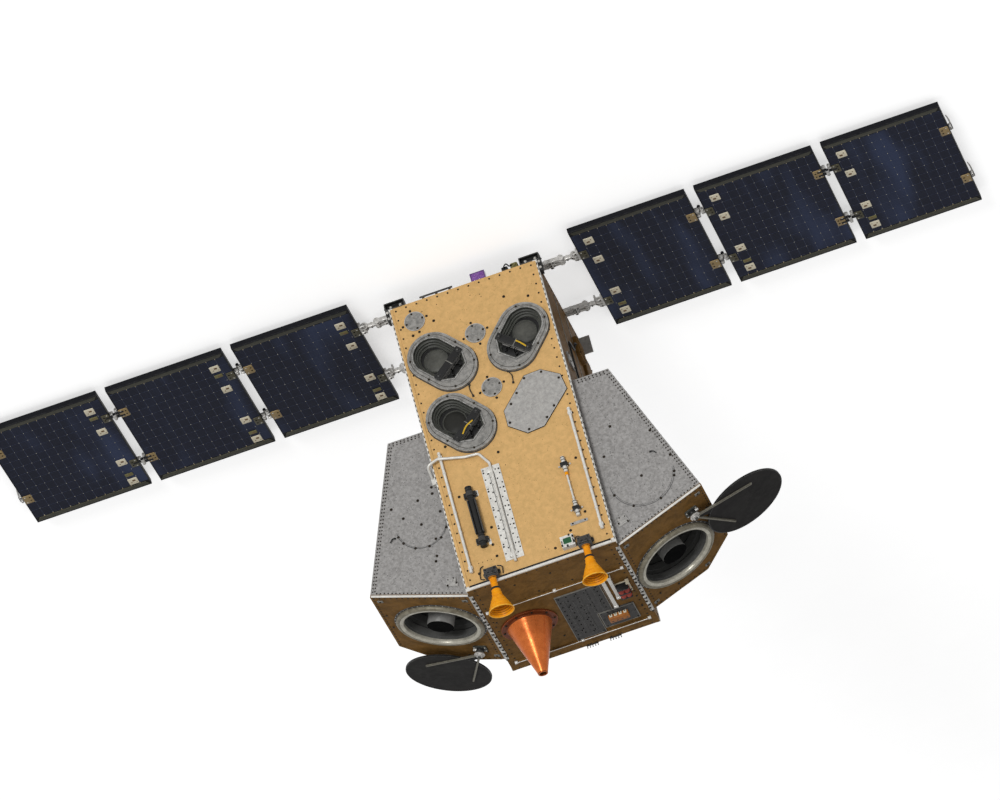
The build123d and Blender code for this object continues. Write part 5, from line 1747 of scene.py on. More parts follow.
@dataclass
class FrontFittings:
    """Fasteners, straps, leads and small parts over the front's plates, rods and boxes.

    Attributes:
        bus: The body.
        discs: Middles of the round plates.
        octagon: Corners of the eight-sided plate.
        octagon_bolts: Its bolts.
        wall_bolts: Single bolts of the wall.
        strip: The perforated strip: x from, x to, lower and upper end.
        torque_rod: x, lower and upper end, and distance from the wall.
        sensor_rod: The same for the thin rod.
        plate_rise: Height of the flat plates.
    """

    bus: Bus
    discs: tuple[tuple[float, float], ...] = ((241, 95), (2, 246), (-4, 522))
    octagon: tuple[tuple[float, float], ...] = ((-225, 518), (-150, 521), (-27, 653), (-26, 728),
                                                (-100, 790), (-177, 784), (-313, 647), (-302, 570))
    octagon_bolts: tuple[tuple[float, float], ...] = ((-226, 530), (-292, 585), (-148, 534),
                                                      (-100, 590), (-64, 632), (-38, 716),
                                                      (-110, 776), (-198, 748), (-240, 706))
    wall_bolts: tuple[tuple[float, float], ...] = ((161, 121), (264, 158), (-158, 120), (-260, 155),
                                                   (258, 723), (45, 830), (258, 975), (159, 1164),
                                                   (169, 1303), (-268, 977), (-244, 1237),
                                                   (-163, 1301), (-80, 1358), (262, 1357),
                                                   (173, 1245))
    strip: tuple[float, float, float, float] = (55, 137, 883, 1344)
    torque_rod: tuple[float, float, float, float] = (209, 954, 1250, 19)
    sensor_rod: tuple[float, float, float, float] = (-214, 960, 1252, 14)
    plate_rise: float = 5.0

    def build(self) -> None:
        """Makes all the parts of the front."""
        facet = self.bus.face_front()
        self.round_plates(facet)
        self.octagon_parts(facet)
        self.strip_parts(facet)
        self.rod_parts(facet)
        self.boxes(facet)
        self.leads(facet)

    def round_plates(self, facet: Facet) -> None:
        """Rim, inner bolts and outer bolts of each round plate, and the wall's single bolts.

        Args:
            facet: The face that carries them.
        """
        rise = self.plate_rise
        rims, inner, outer = [], [], []
        for u, v in self.discs:
            rim = framed(circle(45.6, 48), circle(42.4, 48), rise - 4, rise + 1, 0.6)
            rims.append(rim.moved((u, v, 0)))
            turn = np.radians(np.arange(4) * 90 + 8)
            away = np.column_stack([np.cos(turn), np.sin(turn)])
            inner += [(u, v) + away * 37]
            outer += [(u, v) + away * 56]
        heads = joined([studs(np.concatenate(inner), bolt(3.6, 3.6), rise),
                        studs(np.concatenate(outer), bolt(4.2, 4.0)),
                        studs(self.wall_bolts, bolt(4.6, 4.4))])
        facet.write("front_plate_parts", "bus", "plate_grey",
                    [(joined(rims), PLATE), (heads, BOLT_DARK)])

    def octagon_parts(self, facet: Facet) -> None:
        """Dark edge line, a raised inner frame and the bolts of the eight-sided plate.

        Args:
            facet: The face that carries them.
        """
        rise, outline = self.plate_rise, np.array(self.octagon, float)
        edge = framed(inset(outline, -1.4), inset(outline, 0.6), 0, rise + 0.3, 0.2)
        lip = framed(inset(outline, 0.8), inset(outline, 3.2), rise - 1, rise + 0.7, 0.3)
        heads = studs(self.octagon_bolts, bolt(4.2, 4.2), rise)
        facet.write("octagon_parts", "bus", "plate_grey",
                    [(edge, BOLT_DARK), (lip, PLATE), (heads, BOLT_DARK)])

    def strip_parts(self, facet: Facet) -> None:
        """Holes of the perforated strip as black domes of painted shade, its screws and edge lines,
        and bands round its pipe.

        Args:
            facet: The face that carries them.
        """
        left, right, low, high = self.strip
        middle, rise = (left + right) / 2, 4.0
        holes = []
        for u, shift in ((right - 8, 0), (right - 25, 22), (left + 22, 10), (left + 7, 34)):
            holes += [(u, v) for v in np.arange(low + 12 + shift, high - 8, 46)]
        # Painted shade: black domes stand for the strip's holes.
        dots = studs(holes, rivet(3.7, 0.9), rise)
        screws = [(u, v) for u in (left + 7, right - 7) for v in np.arange(low + 24, high, 92)]
        lines = [sheet((2.2, high - low - 16), (rise, rise + 0.5), (middle + du, (low + high) / 2))
                 for du in (-10.5, 10.5)]
        edges = [sheet((3, high - low - 2), (rise, rise + 1.2, 0.5), (u, (low + high) / 2))
                 for u in (left + 1.8, right - 1.8)]
        bands = [turning([(6.2, 0), (7.6, 0.8), (7.6, 5.2), (6.2, 6)], 24,
                         ring=True).turned(-90, "X").moved((middle, v, 12))
                 for v in spaced(low + 90, high - 70, 62)]
        plate = slab(box_outline(34, 20, 3), rise, rise + 2.4, 1)
        plates = [plate.moved((middle, v, 0)) for v in (low + 20, high - 22)]
        facet.write("strip_parts", "bus", "bright_metal",
                    [(dots, BLACK_DEEP), (studs(screws, bolt(3, 3), rise), BOLT_DARK),
                     (joined(lines), DARK_PLATE), (joined(edges), BRIGHT), (joined(bands), BRIGHT),
                     (joined(plates), BRIGHT)])

    def collar(self, rod: tuple[float, float, float, float], v: float, radius: float,
               length: float) -> Shape:
        """A ring round an upright rod at a height.

        Args:
            rod: x, lower and upper end, and distance from the wall.
            v: Height of the ring's foot.
            radius: Its radius.
            length: Its length.

        Returns:
            The ring.
        """
        ring = turning([(radius - 3, 0), (radius, 0.6), (radius, length - 0.6),
                        (radius - 3, length)], 28)
        return ring.turned(-90, "X").moved((rod[0], v, rod[3]))

    def rod_parts(self, facet: Facet) -> None:
        """Grooves, end caps, clamps and bolts of the two capped rods and the two long rods.

        Args:
            facet: The face that carries them.
        """
        dark, metal, brass, bolts = [], [], [], []
        rod, thin = self.torque_rod, self.sensor_rod
        for base in (rod[1], rod[2] - 70):
            dark += [self.collar(rod, base + v, 15.4, length)
                     for v, length in ((1, 5), (12, 4), (52, 4), (64, 5))]
            clamp = sheet((60, 26, 3), (0, 6, 1.2), (rod[0], base + 35))
            hoop = self.collar(rod, base + 25, 17.4, 20)
            metal += [clamp, hoop]
            bolts += [(rod[0] + du, base + 35 + dv) for du in (-24, 24) for dv in (-7, 7)]
        dark += [self.collar(rod, rod[1] + 68, 16.2, rod[2] - rod[1] - 136)]
        cheeks = [sheet((5, rod[2] - rod[1] - 130, 1), (14, 36, 1.2),
                        (rod[0] + du, (rod[1] + rod[2]) / 2)) for du in (-17, 17)]
        for base in (thin[1], thin[2] - 74):
            metal += [self.collar(thin, base + v, 10.2, 4) for v in (2, 14, 60)]
            dark.append(sheet((33, 20, 3), (0, 24, 2), (thin[0], base + 37)))
            bolts += [(thin[0] + du, base + 37) for du in (-24, 24)]
        brass.append(self.collar(thin, thin[1] + 76, 7.4, 14))
        caps = [self.collar(thin, v, 5.6, 8) for v in (1078, 1120, 1160)]
        facet.write("rod_parts", "bus", "black_metal",
                    [(joined(dark), BLACK), (joined(metal + cheeks), DARK_PLATE),
                     (joined(brass), AMBER), (joined(caps), BRIGHT),
                     (studs(bolts, bolt(3.2, 4), 5.6), BOLT_BRIGHT)])
        ferrules = []
        for u, low in ((291, 748), (-297, 743)):
            stations = list(spaced(low + 4, self.bus.height - 80, 96))
            ferrules += [self.collar((u, 0, 0, 15), v, 8, 7) for v in stations]
        facet.write("rod_ferrules", "bus", "bright_metal", [(joined(ferrules), BRIGHT)])

    def boxes(self, facet: Facet) -> None:
        """Green window with black notches, screws of the horn brackets, and small wall plates.

        Args:
            facet: The face that carries them.
        """
        top = self.bus.height
        u, v, rise = -141, top - 62, 30
        bezel = framed(box_outline(46, 38, 5), box_outline(36, 28, 4), rise, rise + 3, 1)
        bezel = bezel.moved((u, v, 0))
        glass = sheet((36, 28, 4), (rise, rise + 1.4, 0.6), (u, v))
        notches = [sheet((8, 11, 1), (rise, rise + 2.6, 0.8), (u + du, v + dv))
                   for du, dv in ((-26, -14), (-26, 12), (26, 16), (4, 24), (-12, -24))]
        screws = studs([(u + du, v + dv) for du in (-24, 24) for dv in (-2, 4)], bolt(2.4, 2.6),
                       rise)
        facet.write("window_parts", "bus", "sensor_white",
                    [(bezel, BRIGHT), (glass, GREEN_GLASS), (joined(notches), BLACK),
                     (screws, BOLT_DARK)])
        parts, heads = [], []
        for x in (209, -211):
            z = top - 10 - 22
            parts += [sheet((52, 38, 4), (44, 47, 1.4), (x, z)),
                      sheet((30, 16, 2), (46, 56, 2), (x, z + 6)),
                      sheet((74, 20, 4), (0, 7, 1.6), (x, z - 12))]
            heads += [(x + du, z + dv, 46.8) for du in (-20, 20) for dv in (-13, 13)]
            heads += [(x + du, z - 12, 6.8) for du in (-33, 33)]
            heads += [(x + du, z + 6, 55.6) for du in (-9, 9)]
        facet.write("horn_bracket_parts", "bus", "plate_grey",
                    [(joined(parts), DARK_PLATE), (copies(bolt(4, 4.4), heads), BLACK)])
        bar = sheet((78, 13, 2), (0, 5, 1.2), (-208, 1276))
        tabs = [sheet((12, 26, 2), (0, 3.4, 1), (x, z)) for x, z in ((180, 986), (180, 1228))]
        # Painted shade: dark domes stand for holes in the wall.
        holes = studs([(253, 1309), (235, 1309), (214, 1310), (196, 1310), (-40, 1338), (-52, 1352),
                       (30, 900), (200, 60), (130, 50), (-60, 70), (-64, 84), (-20, 60), (300, 260),
                       (-300, 420)], rivet(2.2, 1))
        heads = studs([(-236, 1276), (-180, 1276)], bolt(3.2, 3.6), 4.6)
        facet.write("wall_plates", "bus", "bright_metal",
                    [(bar, PLATE), (joined(tabs), BRIGHT), (joined([holes, heads]), BOLT_DARK)])

    def leads(self, facet: Facet) -> None:
        """Short bowed leads with their plugs on the wall.

        Args:
            facet: The face that carries them.
        """
        runs = [[(87, 477, 2), (90, 499, 7), (83, 533, 2)],
                [(-89, 474, 2), (-101, 501, 7), (-98, 534, 2)],
                [(179, 1348, 4), (160, 1362, 12), (160, 1380, 12), (163, 1392, 3)],
                [(238, 1330, 3), (252, 1342, 9), (262, 1384, 6), (246, 1396, 8)],
                [(-170, 1352, 8), (-184, 1342, 10), (-196, 1352, 8), (-200, 1368, 6)]]
        wires = [wire(run, 2.3, (0, 0, 1)) for run in runs]
        plugs = [block(9, 9, 7, 2).moved((*run[end][:2], 0)) for run in runs[:2] for end in (0, -1)]
        facet.write("front_leads", "bus", "black_metal",
                    [(joined(wires), BLACK), (joined(plugs), BLACK)])


# ------------------------------------------------------------------ horns and cone
@dataclass
class Horn:
    """Ribs, rings and screws of one horn.

    Attributes:
        bus: The body.
        side: Which horn it is.
        x: Its axis.
        out: Distance of its axis in front of the front face.
        drop: Its foot below the top edge.
        outline: Radius and height of the outside, from the foot up.
    """

    bus: Bus
    side: Side
    x: float
    out: float = 30.0
    drop: float = 10.0
    outline: tuple[tuple[float, float], ...] = (
        (13, 0), (13, 54), (18, 54.1), (18, 59), (23, 94), (26, 97), (54, 161), (56.5, 167))

    def radius(self, height: Array | float) -> Array | float:
        """Outside radius at a height, straight between the outline's points."""
        values = np.array(self.outline)
        return np.interp(height, values[:, 1], values[:, 0])

    def build(self) -> None:
        """Makes the neck's ribs, the rings, the lining in painted shade and the lip with a painted
        highlight.
        """
        facet = Facet((self.x, self.bus.front - self.out, self.bus.top - self.drop), (1, 0, 0),
                      (0, 1, 0))

        def hoop(height: float, proud: float, length: float) -> Shape:
            """A rounded band about the horn from a height up, standing proud of its outside.

            Args:
                height: Height of the band's foot.
                proud: How far it stands out.
                length: Its length.

            Returns:
                The band.
            """
            r = float(self.radius(height))
            return turning([(r - 1, height), (r + proud, height + length * 0.25),
                            (r + proud, height + length * 0.75), (r - 1, height + length)], 48,
                           ring=True)

        ribs = joined([hoop(h, 2.2, 4.0) for h in spaced(5, 46, 6.8)])
        rings = joined([hoop(h, 1.8, 3.4) for h in (62, 78, 91)]
                       + [hoop(h, 1.2, 2.6) for h in (112, 128, 144)])
        lip = turning([(53, 163.8), (56, 163.6), (56.4, 165), (56.2, 167.2), (53.4, 167.9),
                       (52.4, 166)], 64, ring=True)
        collar = turning([(17, 52), (20.4, 52.6), (21.4, 55), (21.4, 58.6), (19, 61), (17, 61)], 40,
                         ring=True)
        inner = []
        for height in (104, 113, 122, 131, 140, 149, 157):
            r = float(self.radius(height)) - 3.8
            inner.append(turning([(r + 0.6, height - 1.4), (r + 0.6, height + 1.6),
                                  (r - 1.8, height + 1.2), (r - 1.8, height - 1)], 56, ring=True))
        throat = turning([(19, 96), (19, 99), (11, 100), (10, 104), (4, 104)], 32)
        foot = turning([(19, 0.2), (19, 3), (17, 5), (14, 5)], 32)
        screws = copies(bolt(1.8, 2.2), at_height(circle(16.4, 6), 4.6))
        # The lip's lighter amber is a painted highlight; the inner rings, throat and foot carry
        # painted shade.
        facet.write(f"horn_parts_{self.side.label}", "bus", "horn_amber",
                    [(ribs, AMBER), (rings, AMBER), (lip, AMBER_PAINTED_HIGHLIGHT), (collar, BLACK),
                     (joined(inner), AMBER_PAINTED_SHADE), (throat, AMBER_PAINTED_SHADE), (foot, AMBER_PAINTED_SHADE),
                     (screws, BOLT_DARK)])


@dataclass
class Cone:
    """Flange, seam and tip of the cone antenna.

    Attributes:
        bus: The body.
        place: Its axis.
        flange: Radius of its flange.
        base: Radius of the cone at the flange.
        tip: Radius at the tip.
        height: Its height.
    """

    bus: Bus
    place: tuple[float, float] = (169.0, 46.0)
    flange: float = 124.0
    base: float = 100.0
    tip: float = 20.5
    height: float = 250.0

    def build(self) -> None:
        """Makes the darker flange with its bolts, the foot bead, the seam and the tip ring."""
        facet = self.bus.face_top().turned(self.place, 0.0)
        f, b, h = self.flange, self.base, self.height
        flange = turning([(f + 0.6, 0.3), (f + 0.6, 7), (f - 1.4, 9), (b + 6, 9), (b + 1, 8.8),
                          (b + 1, 0.3)], 96, ring=True)
        bead = turning([(b - 1.6, 8.6), (b + 3.4, 8.6), (b + 2.6, 12), (b - 0.6, 14), (b - 3, 14)],
                       96, ring=True)
        bolts = copies(bolt(4.2, 4.6), at_height(circle((f + b) / 2 + 1, 10), 9))
        reach = np.linspace(0, 1, 12)[:, None]
        seams = []
        for turn in (70, 215):
            foot, head = np.array([(b + 0.4, 0, 9)]), np.array([(self.tip + 0.4, 0, h - 2)])
            line = foot * (1 - reach) + head * reach
            seams.append(carried(box_outline(4.6, 1.8), line, (1, 0, 0.3)).turned(turn))
        lip = turning([(self.tip - 5, h - 6), (self.tip - 1, h - 6.2), (self.tip + 1.4, h - 6),
                       (self.tip + 1.2, h - 0.8), (self.tip - 0.6, h - 0.1),
                       (self.tip - 4.6, h - 0.3), (self.tip - 5.4, h - 2)], 48, ring=True)
        plug = turning([(self.tip - 4.6, h - 16), (self.tip - 4.6, h - 12), (8, h - 11),
                        (3, h - 9)], 32)
        facet.write("cone_parts", "bus", "cone_copper",
                    [(flange, COPPER_DARK), (bead, COPPER_DARK), (bolts, BOLT_DARK),
                     (joined(seams), COPPER), (lip, COPPER_DARK), (plug, BLACK_DEEP)])


# ------------------------------------------------------------------ top face
@dataclass
class TopDeck:
    """Plates, coil, blocks, rails' clips, seam chains and antennas of the top face.

    Attributes:
        bus: The body.
        plate: Corners of the instrument plate.
        ribs: Lower and upper end of each raised rib on it.
        coil: The relay coil: x from, x to, y from, y to, height.
        block: The connector block: x from, x to, y from, y to, top.
        combs: Middles of the two comb antennas on the back edge.
        rail_places: y of the two rails.
    """

    bus: Bus
    plate: tuple[tuple[float, float], ...] = (
        (-180, -104), (20, -104), (20, 326), (-112, 326), (-112, 152), (-180, 152))
    ribs: tuple[tuple[float, float, float, float], ...] = (
        (-7, -56, -13, 215), (-47, -24, -43, 276), (-77, -38, -79, 293), (-112, -90, -112, 140),
        (-146, -90, -146, 140))
    coil: tuple[float, float, float, float, float] = (-291, -243, -40, 45, 30)
    block: tuple[float, float, float, float, float] = (-235, -149, 198, 238, 24)
    combs: tuple[tuple[float, float], ...] = ((-28, 402), (-133, 402))
    rail_places: tuple[float, float] = (-174, 338)

    def build(self) -> None:
        """Makes all the parts of the top face."""
        facet = self.bus.face_top()
        self.edge_caps(facet)
        self.plate_parts(facet)
        self.connectors(facet)
        self.coil_parts(facet)
        self.rails(facet)
        self.seam_chains(facet)
        self.antennas(facet)

    def edge_caps(self, facet: Facet) -> None:
        """Thin brown caps over the walls' upper edges, so that the whole top face is one sheet.

        Args:
            facet: The face that carries them.
        """
        wide, deep = 2 * self.bus.half_width, 2 * self.bus.back
        outer, inner = box_outline(wide - 1, deep - 1), box_outline(wide - 46, deep - 46)
        cap = framed(outer, inner, 0, 0.9, 0.3)
        facet.write("top_edge_caps", "bus", "bronze_wall", [(cap, GOLD_PAINTED_SHADE)])

    def plate_parts(self, facet: Facet) -> None:
        """Edge lines, ribs, paired dots and bolts of the instrument plate.

        Args:
            facet: The face that carries them.
        """
        outline, rise = np.array(self.plate, float), 5.0
        edge = framed(inset(outline, -0.8), inset(outline, 2.2), rise - 4, rise + 0.9, 0.4)
        ribs = [ribbon([(a, b, rise + 0.8), (c, d, rise + 0.8)], 8, 2.4)
                for a, b, c, d in self.ribs]
        dots = [(u, v) for u in (-160, -116, -72, -28, 6) for v in np.arange(-84, 316, 40)
                if u > -112 or v < 140]
        pairs = dots + [(u + 9, v + 13) for u, v in dots[::3] if u < 0]
        bolts = [(-172, -96), (12, -96), (12, 318), (-104, 318), (-172, 144), (-80, 120),
                 (-20, 130), (-60, 230)]
        patches = [sheet((w, h, 2), (rise, rise + 1.6, 0.6), (u, v))
                   for u, v, w, h in ((-30, 40, 18, 44), (-96, 60, 16, 30), (-62, 300, 20, 16),
                                      (-4, 270, 14, 40))]
        facet.write("instrument_parts", "bus", "plate_grey",
                    [(edge, BRIGHT_DARK), (joined(ribs), DARK_PLATE),
                     (studs(pairs, rivet(3.4, 2.2), rise), BLACK_DEEP),
                     (studs(bolts, bolt(4, 3.8), rise), BLACK), (joined(patches), DARK_PLATE)])

    def connectors(self, facet: Facet) -> None:
        """Orange block with four bright tips, its plate's bolts and leads.

        Args:
            facet: The face that carries them.
        """
        x0, x1, y0, y1, top = self.block
        shell = slab(box_outline(x1 - x0 + 3, y1 - y0 + 3, 3), 6, top + 1.2, 2)
        shell = shell.moved(((x0 + x1) / 2, (y0 + y1) / 2, 0))
        middle = (y0 + y1) / 2
        stations = spaced(x0 + 11, x1 - 11, 21)
        tips = [sheet((13, 7, 1), (7, top - 5, 1.2), (u, y0 - 4))
                for u in stations]
        slots = [sheet((9, 5, 1), (top + 1, top + 2.2, 0.4), (u, middle + 9))
                 for u in stations]
        plate = framed(box_outline(158, 143, 3), box_outline(150, 135, 3), 5, 7, 0.6)
        plate = plate.moved((-195, 225.5, 0))
        heads = studs([(u, v) for u in (-264, -126) for v in (164, 225, 287)], bolt(3.4, 3.6), 6)
        runs = [[(u, y0 - 6, 14), (u, y0 - 12, 13), (u + 4, y0 - 22, 7.4), (u + 8, y0 - 36, 7.4)]
                for u in stations]
        facet.write("connector_parts", "bus", "plate_grey",
                    [(shell, ORANGE_BLOCK), (joined(tips), CREAM_METAL), (joined(slots), BLACK),
                     (plate, BRIGHT_DARK), (heads, BLACK),
                     (joined([wire(r, 2, (0, 0, 1)) for r in runs]), BLACK)])

    def coil_parts(self, facet: Facet) -> None:
        """Two wound red stripes with end flanges, and the black and white bracket beside them.

        Args:
            facet: The face that carries them.
        """
        x0, x1, y0, y1, high = self.coil
        long = y1 - y0
        windings = []
        for x in (x0 + 12, x1 - 12):
            spool = [(11.5, 0.0)]
            for step in np.arange(0, long - 8, 3.2):
                spool += [(11.5, step + 0.6), (12.6, step + 1.6), (11.5, step + 2.6)]
            spool.append((11.5, long - 6.0))
            windings.append(turning(spool, 24).turned(-90, "X").moved((x, y0 + 3, high - 6)))
        flanges = [sheet((x1 - x0 + 4, 6, 1), (0, high + 8, 1.2), ((x0 + x1) / 2, y))
                   for y in (y0 + 1, (y0 + y1) / 2, y1 - 1)]
        foot = sheet((x1 - x0 + 18, long + 14, 4), (0, 3.6, 1), ((x0 + x1) / 2, (y0 + y1) / 2))
        bracket = [sheet((16, 10, 2), (0, 22, 1.5), (x0 - 4, y0 - 12)),
                   sheet((30, 12, 2), (0, 14, 1.5), (x0 + 16, y1 + 14))]
        heads = studs([(x0 - 4, y0 + 8), (x0 - 4, y1 - 8), (x1 + 5, y0 + 8), (x1 + 5, y1 - 8)],
                      bolt(3, 3.4), 3.4)
        facet.write("coil_parts", "bus", "relay_red",
                    [(joined(windings), RED_COIL), (joined(flanges), BLACK), (foot, CREAM_METAL),
                     (joined(bracket), CREAM_METAL), (heads, BLACK)])

    def rails(self, facet: Facet) -> None:
        """Clips and screws along the two rails, end pads of the bars, and a thin seam line.

        Args:
            facet: The face that carries them.
        """
        clips, heads = [], []
        for y in self.rail_places:
            clips += [sheet((14, 13, 2), (0, 9.4, 1.4), (x, y)) for x in (-303, 0, 303)]
            for x in spaced(-300, 300, 86):
                heads.append((x, y - 12))
        groove = [sheet((618, 5), (7.6, 9.2, 0.6), (0, y - 1.6)) for y in self.rail_places]
        pads = [sheet((20, 16, 3), (0, h, 1.2), (x, y))
                for x, y, h in ((-200, -112, 10), (-200, 140, 10), (-231, -140, 20),
                                (-231, 52, 20))]
        line = sheet((2.4, 430), (0, 1.6, 0.4), (-186, 10))
        lone = [(60, -210), (-90, -210), (240, -260), (-260, -280), (140, -330), (-20, -330),
                (-180, -340), (250, 200), (60, 250), (290, -60), (-300, 120), (-300, 220)]
        facet.write("rail_parts", "bus", "bright_metal",
                    [(joined(clips), BRIGHT), (joined(groove), BRIGHT), (joined(pads), BRIGHT),
                     (line, BRIGHT_DARK), (studs(heads, rivet(2.6, 1.6)), BOLT_DARK),
                     (studs(lone, bolt(3.6, 3.4)), BOLT_DARK)])

    def seam_chains(self, facet: Facet) -> None:
        """Chain of grey and white tabs with black bolts along both seam strips.

        Args:
            facet: The face that carries them.
        """
        bus = self.bus
        light, dark, heads = [], [], []
        for s in (-1, 1):
            x = s * (bus.half_width - 6.5)
            stations = spaced(bus.pod_front + 12, bus.pod_back - 12, 33)
            for number, y in enumerate(stations):
                tab = sheet((13, 21, 2), (2.2, 4.8, 1), (x, y), 14 * (number % 3 - 1))
                (light if number % 2 else dark).append(tab)
                heads.append((x + s * (number % 2 * 5 - 2.5), y + 16))
        facet.write("seam_chains", "bus", "machined_metal",
                    [(joined(light), BRIGHT), (joined(dark), MACHINED),
                     (studs(heads, bolt(4.6, 5), 2.4), BOLT_DARK)])

    def antennas(self, facet: Facet) -> None:
        """Two comb antennas standing on the back edge, each a bar with feet and teeth.

        Args:
            facet: The face that carries them.
        """
        bars, teeth = [], []
        for x, y in self.combs:
            bars.append(sheet((54, 5, 1), (4, 8, 1), (x, y)))
            bars += [sheet((6, 8, 1), (0, 6, 1), (x + dx, y)) for dx in (-18, 18)]
            tooth = turning([(1.7, 7), (1.7, 13), (2.6, 14), (2.6, 17), (1, 18)], 10)
            teeth += [tooth.moved((x + dx, y, 0)) for dx in spaced(-24, 24, 12)]
        facet.write("comb_antennas", "bus", "black_metal",
                    [(joined(bars), BLACK), (joined(teeth), BRIGHT_DARK)])


# ------------------------------------------------------------------ pods
@dataclass
class PodFittings:
    """Round access panel lines, bolts and clamps on a pod's front, shell seams and end face parts.

    Attributes:
        bus: The body.
        side: Which pod.
        middle: Middle of the round panel, out from the bus's middle plane and up.
        reach: Radius of the round panel.
        around: Angles of its bolts in degrees.
        bolts: Single bolts.
        clamps: Middles of the small clamps beside the bus.
    """

    bus: Bus
    side: Side
    middle: tuple[float, float]
    reach: float
    around: tuple[float, ...]
    bolts: tuple[tuple[float, float], ...]
    clamps: tuple[tuple[float, float], ...]

    def build(self) -> None:
        """Makes the front's and the end's parts."""
        self.front()
        self.end()
        self.shell()

    def front(self) -> None:
        """A groove line three quarters round, its bolts, a centre bolt and clamps by the bus."""
        facet, s = self.bus.face_pod_front(), self.side.value
        angles = np.radians(np.linspace(2, 178, 60))
        arc = np.column_stack([np.cos(angles), np.sin(angles)]) * self.reach + self.middle
        arc = arc * (s, 1)
        line = ribbon(at_height(arc, 0.6), 2.6, 1.6)
        inner = ribbon(at_height((arc - np.array(self.middle) * (s, 1)) * 0.955
                                 + np.array(self.middle) * (s, 1), 0.4), 1.4, 1.0)
        turn = np.radians(self.around)
        ring = np.column_stack([np.cos(turn), np.sin(turn)]) * self.reach + self.middle
        places = np.concatenate([ring, np.array(self.bolts), [self.middle]]) * (s, 1)
        heads = studs(places, bolt(4.6, 4.8))
        parts = []
        for x, z in self.clamps:
            parts += [sheet((52, 15, 3), (0, 6, 1.4), (s * x, z), -18 * s),
                      sheet((40, 30, 4), (0, 9, 2), (s * x, z - 14), -18 * s),
                      sheet((16, 10, 2), (8.6, 15, 1.6), (s * x, z - 14), -18 * s)]
        ends = [(s * x + dx, z) for x, z in self.clamps for dx in (-20, 20)]
        ends += [(s * x + dx, z - 24) for x, z in self.clamps for dx in (-12, 12)]
        hook = wire([(s * 575, 1041, 0), (s * 577, 1041, 9), (s * 590, 1046, 12),
                     (s * 600, 1056, 8)], 3, (0, 0, 1))
        facet.write(f"pod_front_parts_{self.side.label}", "bus", "grey_wall",
                    [(line, GROOVE_GREY), (inner, GROOVE_GREY), (heads, BOLT_DARK),
                     (joined(parts), PLATE), (studs(ends, bolt(3.4, 6), 5), BOLT_DARK),
                     (hook, BLACK)])

    def end(self) -> None:
        """Bolted doubler strips along the end face's outer and back edges, and a service port."""
        facet, s = self.bus.face_pod_end(self.side), self.side.value
        depth = self.bus.pod_back - self.bus.pod_front
        length, cut = POD_END_LENGTH, 150
        strips = [ribbon([(length - 5, s * 12, 0.8), (length - 5, s * (depth - cut), 0.8)], 8, 2),
                  ribbon([(length - 4, s * (depth - cut), 0.8),
                          (length - cut, s * (depth - 4), 0.8)], 8, 2),
                  ribbon([(length - cut, s * (depth - 5), 0.8), (16, s * (depth - 5), 0.8)], 8, 2)]
        places = [(30, 40), (404, 40), (30, depth - 40), (300, depth - 40)]
        pads = [sheet((26, 18, 3), (0, 3, 1), (u, s * v)) for u, v in places]
        places += [(412, 300), (412, 180), (60, 560), (150, 590)]
        heads = studs([(u, s * v) for u, v in places], bolt(3.6, 3.8), 2.6)
        facet.write(f"pod_end_parts_{self.side.label}", "bus", "bronze_wall",
                    [(joined(strips), GOLD_PAINTED_SHADE), (joined(pads), BRIGHT_DARK), (heads, BOLT_DARK)])

    def shell(self) -> None:
        """Rivet rows and two stiffening bands down the pod's leaning outer wall."""
        bus, s, tilt = self.bus, self.side.value, math.radians(POD_TILT)
        edge = (s * (bus.half_width + POD_END_LENGTH * math.cos(tilt)), bus.pod_front,
                bus.top - POD_END_LENGTH * math.sin(tilt))
        facet = Facet(edge, (0, s, 0), (s * math.sin(tilt), 0, math.cos(tilt)))
        low = span(f"pod_front_{self.side.label}")[0][2]
        fall = (edge[2] - low) / math.cos(tilt)
        depth = bus.pod_back - bus.pod_front - 150
        rows = [line_places((s * y, -16), (s * y, 16 - fall), 30)
                for y in (14, depth / 2, depth - 12)]
        rows += [line_places((s * 20, v), (s * (depth - 16), v), 30)
                 for v in (-14, -fall / 2, 14 - fall)]
        bands = [sheet((30, fall - 40, 3), (0, 2.4, 1), (s * y, -fall / 2))
                 for y in (depth * 0.25, depth * 0.75)]
        door = framed(box_outline(150, 190, 14), box_outline(138, 178, 10), 0, 1.8, 0.6)
        door = door.moved((s * depth / 2, -fall * 0.26, 0))
        latches = studs([(s * depth / 2 + du, -fall * 0.26 + dv) for du in (-62, 62)
                         for dv in (-70, 0, 70)], bolt(3.4, 3.4))
        facet.write(f"pod_shell_parts_{self.side.label}", "bus", "bronze_wall",
                    [(copies(rivet(3, 1.8), np.concatenate(rows)), BOLT_DARK),
                     (joined(bands), GOLD_PAINTED_SHADE), (door, BRIGHT_DARK), (latches, BOLT_DARK)])


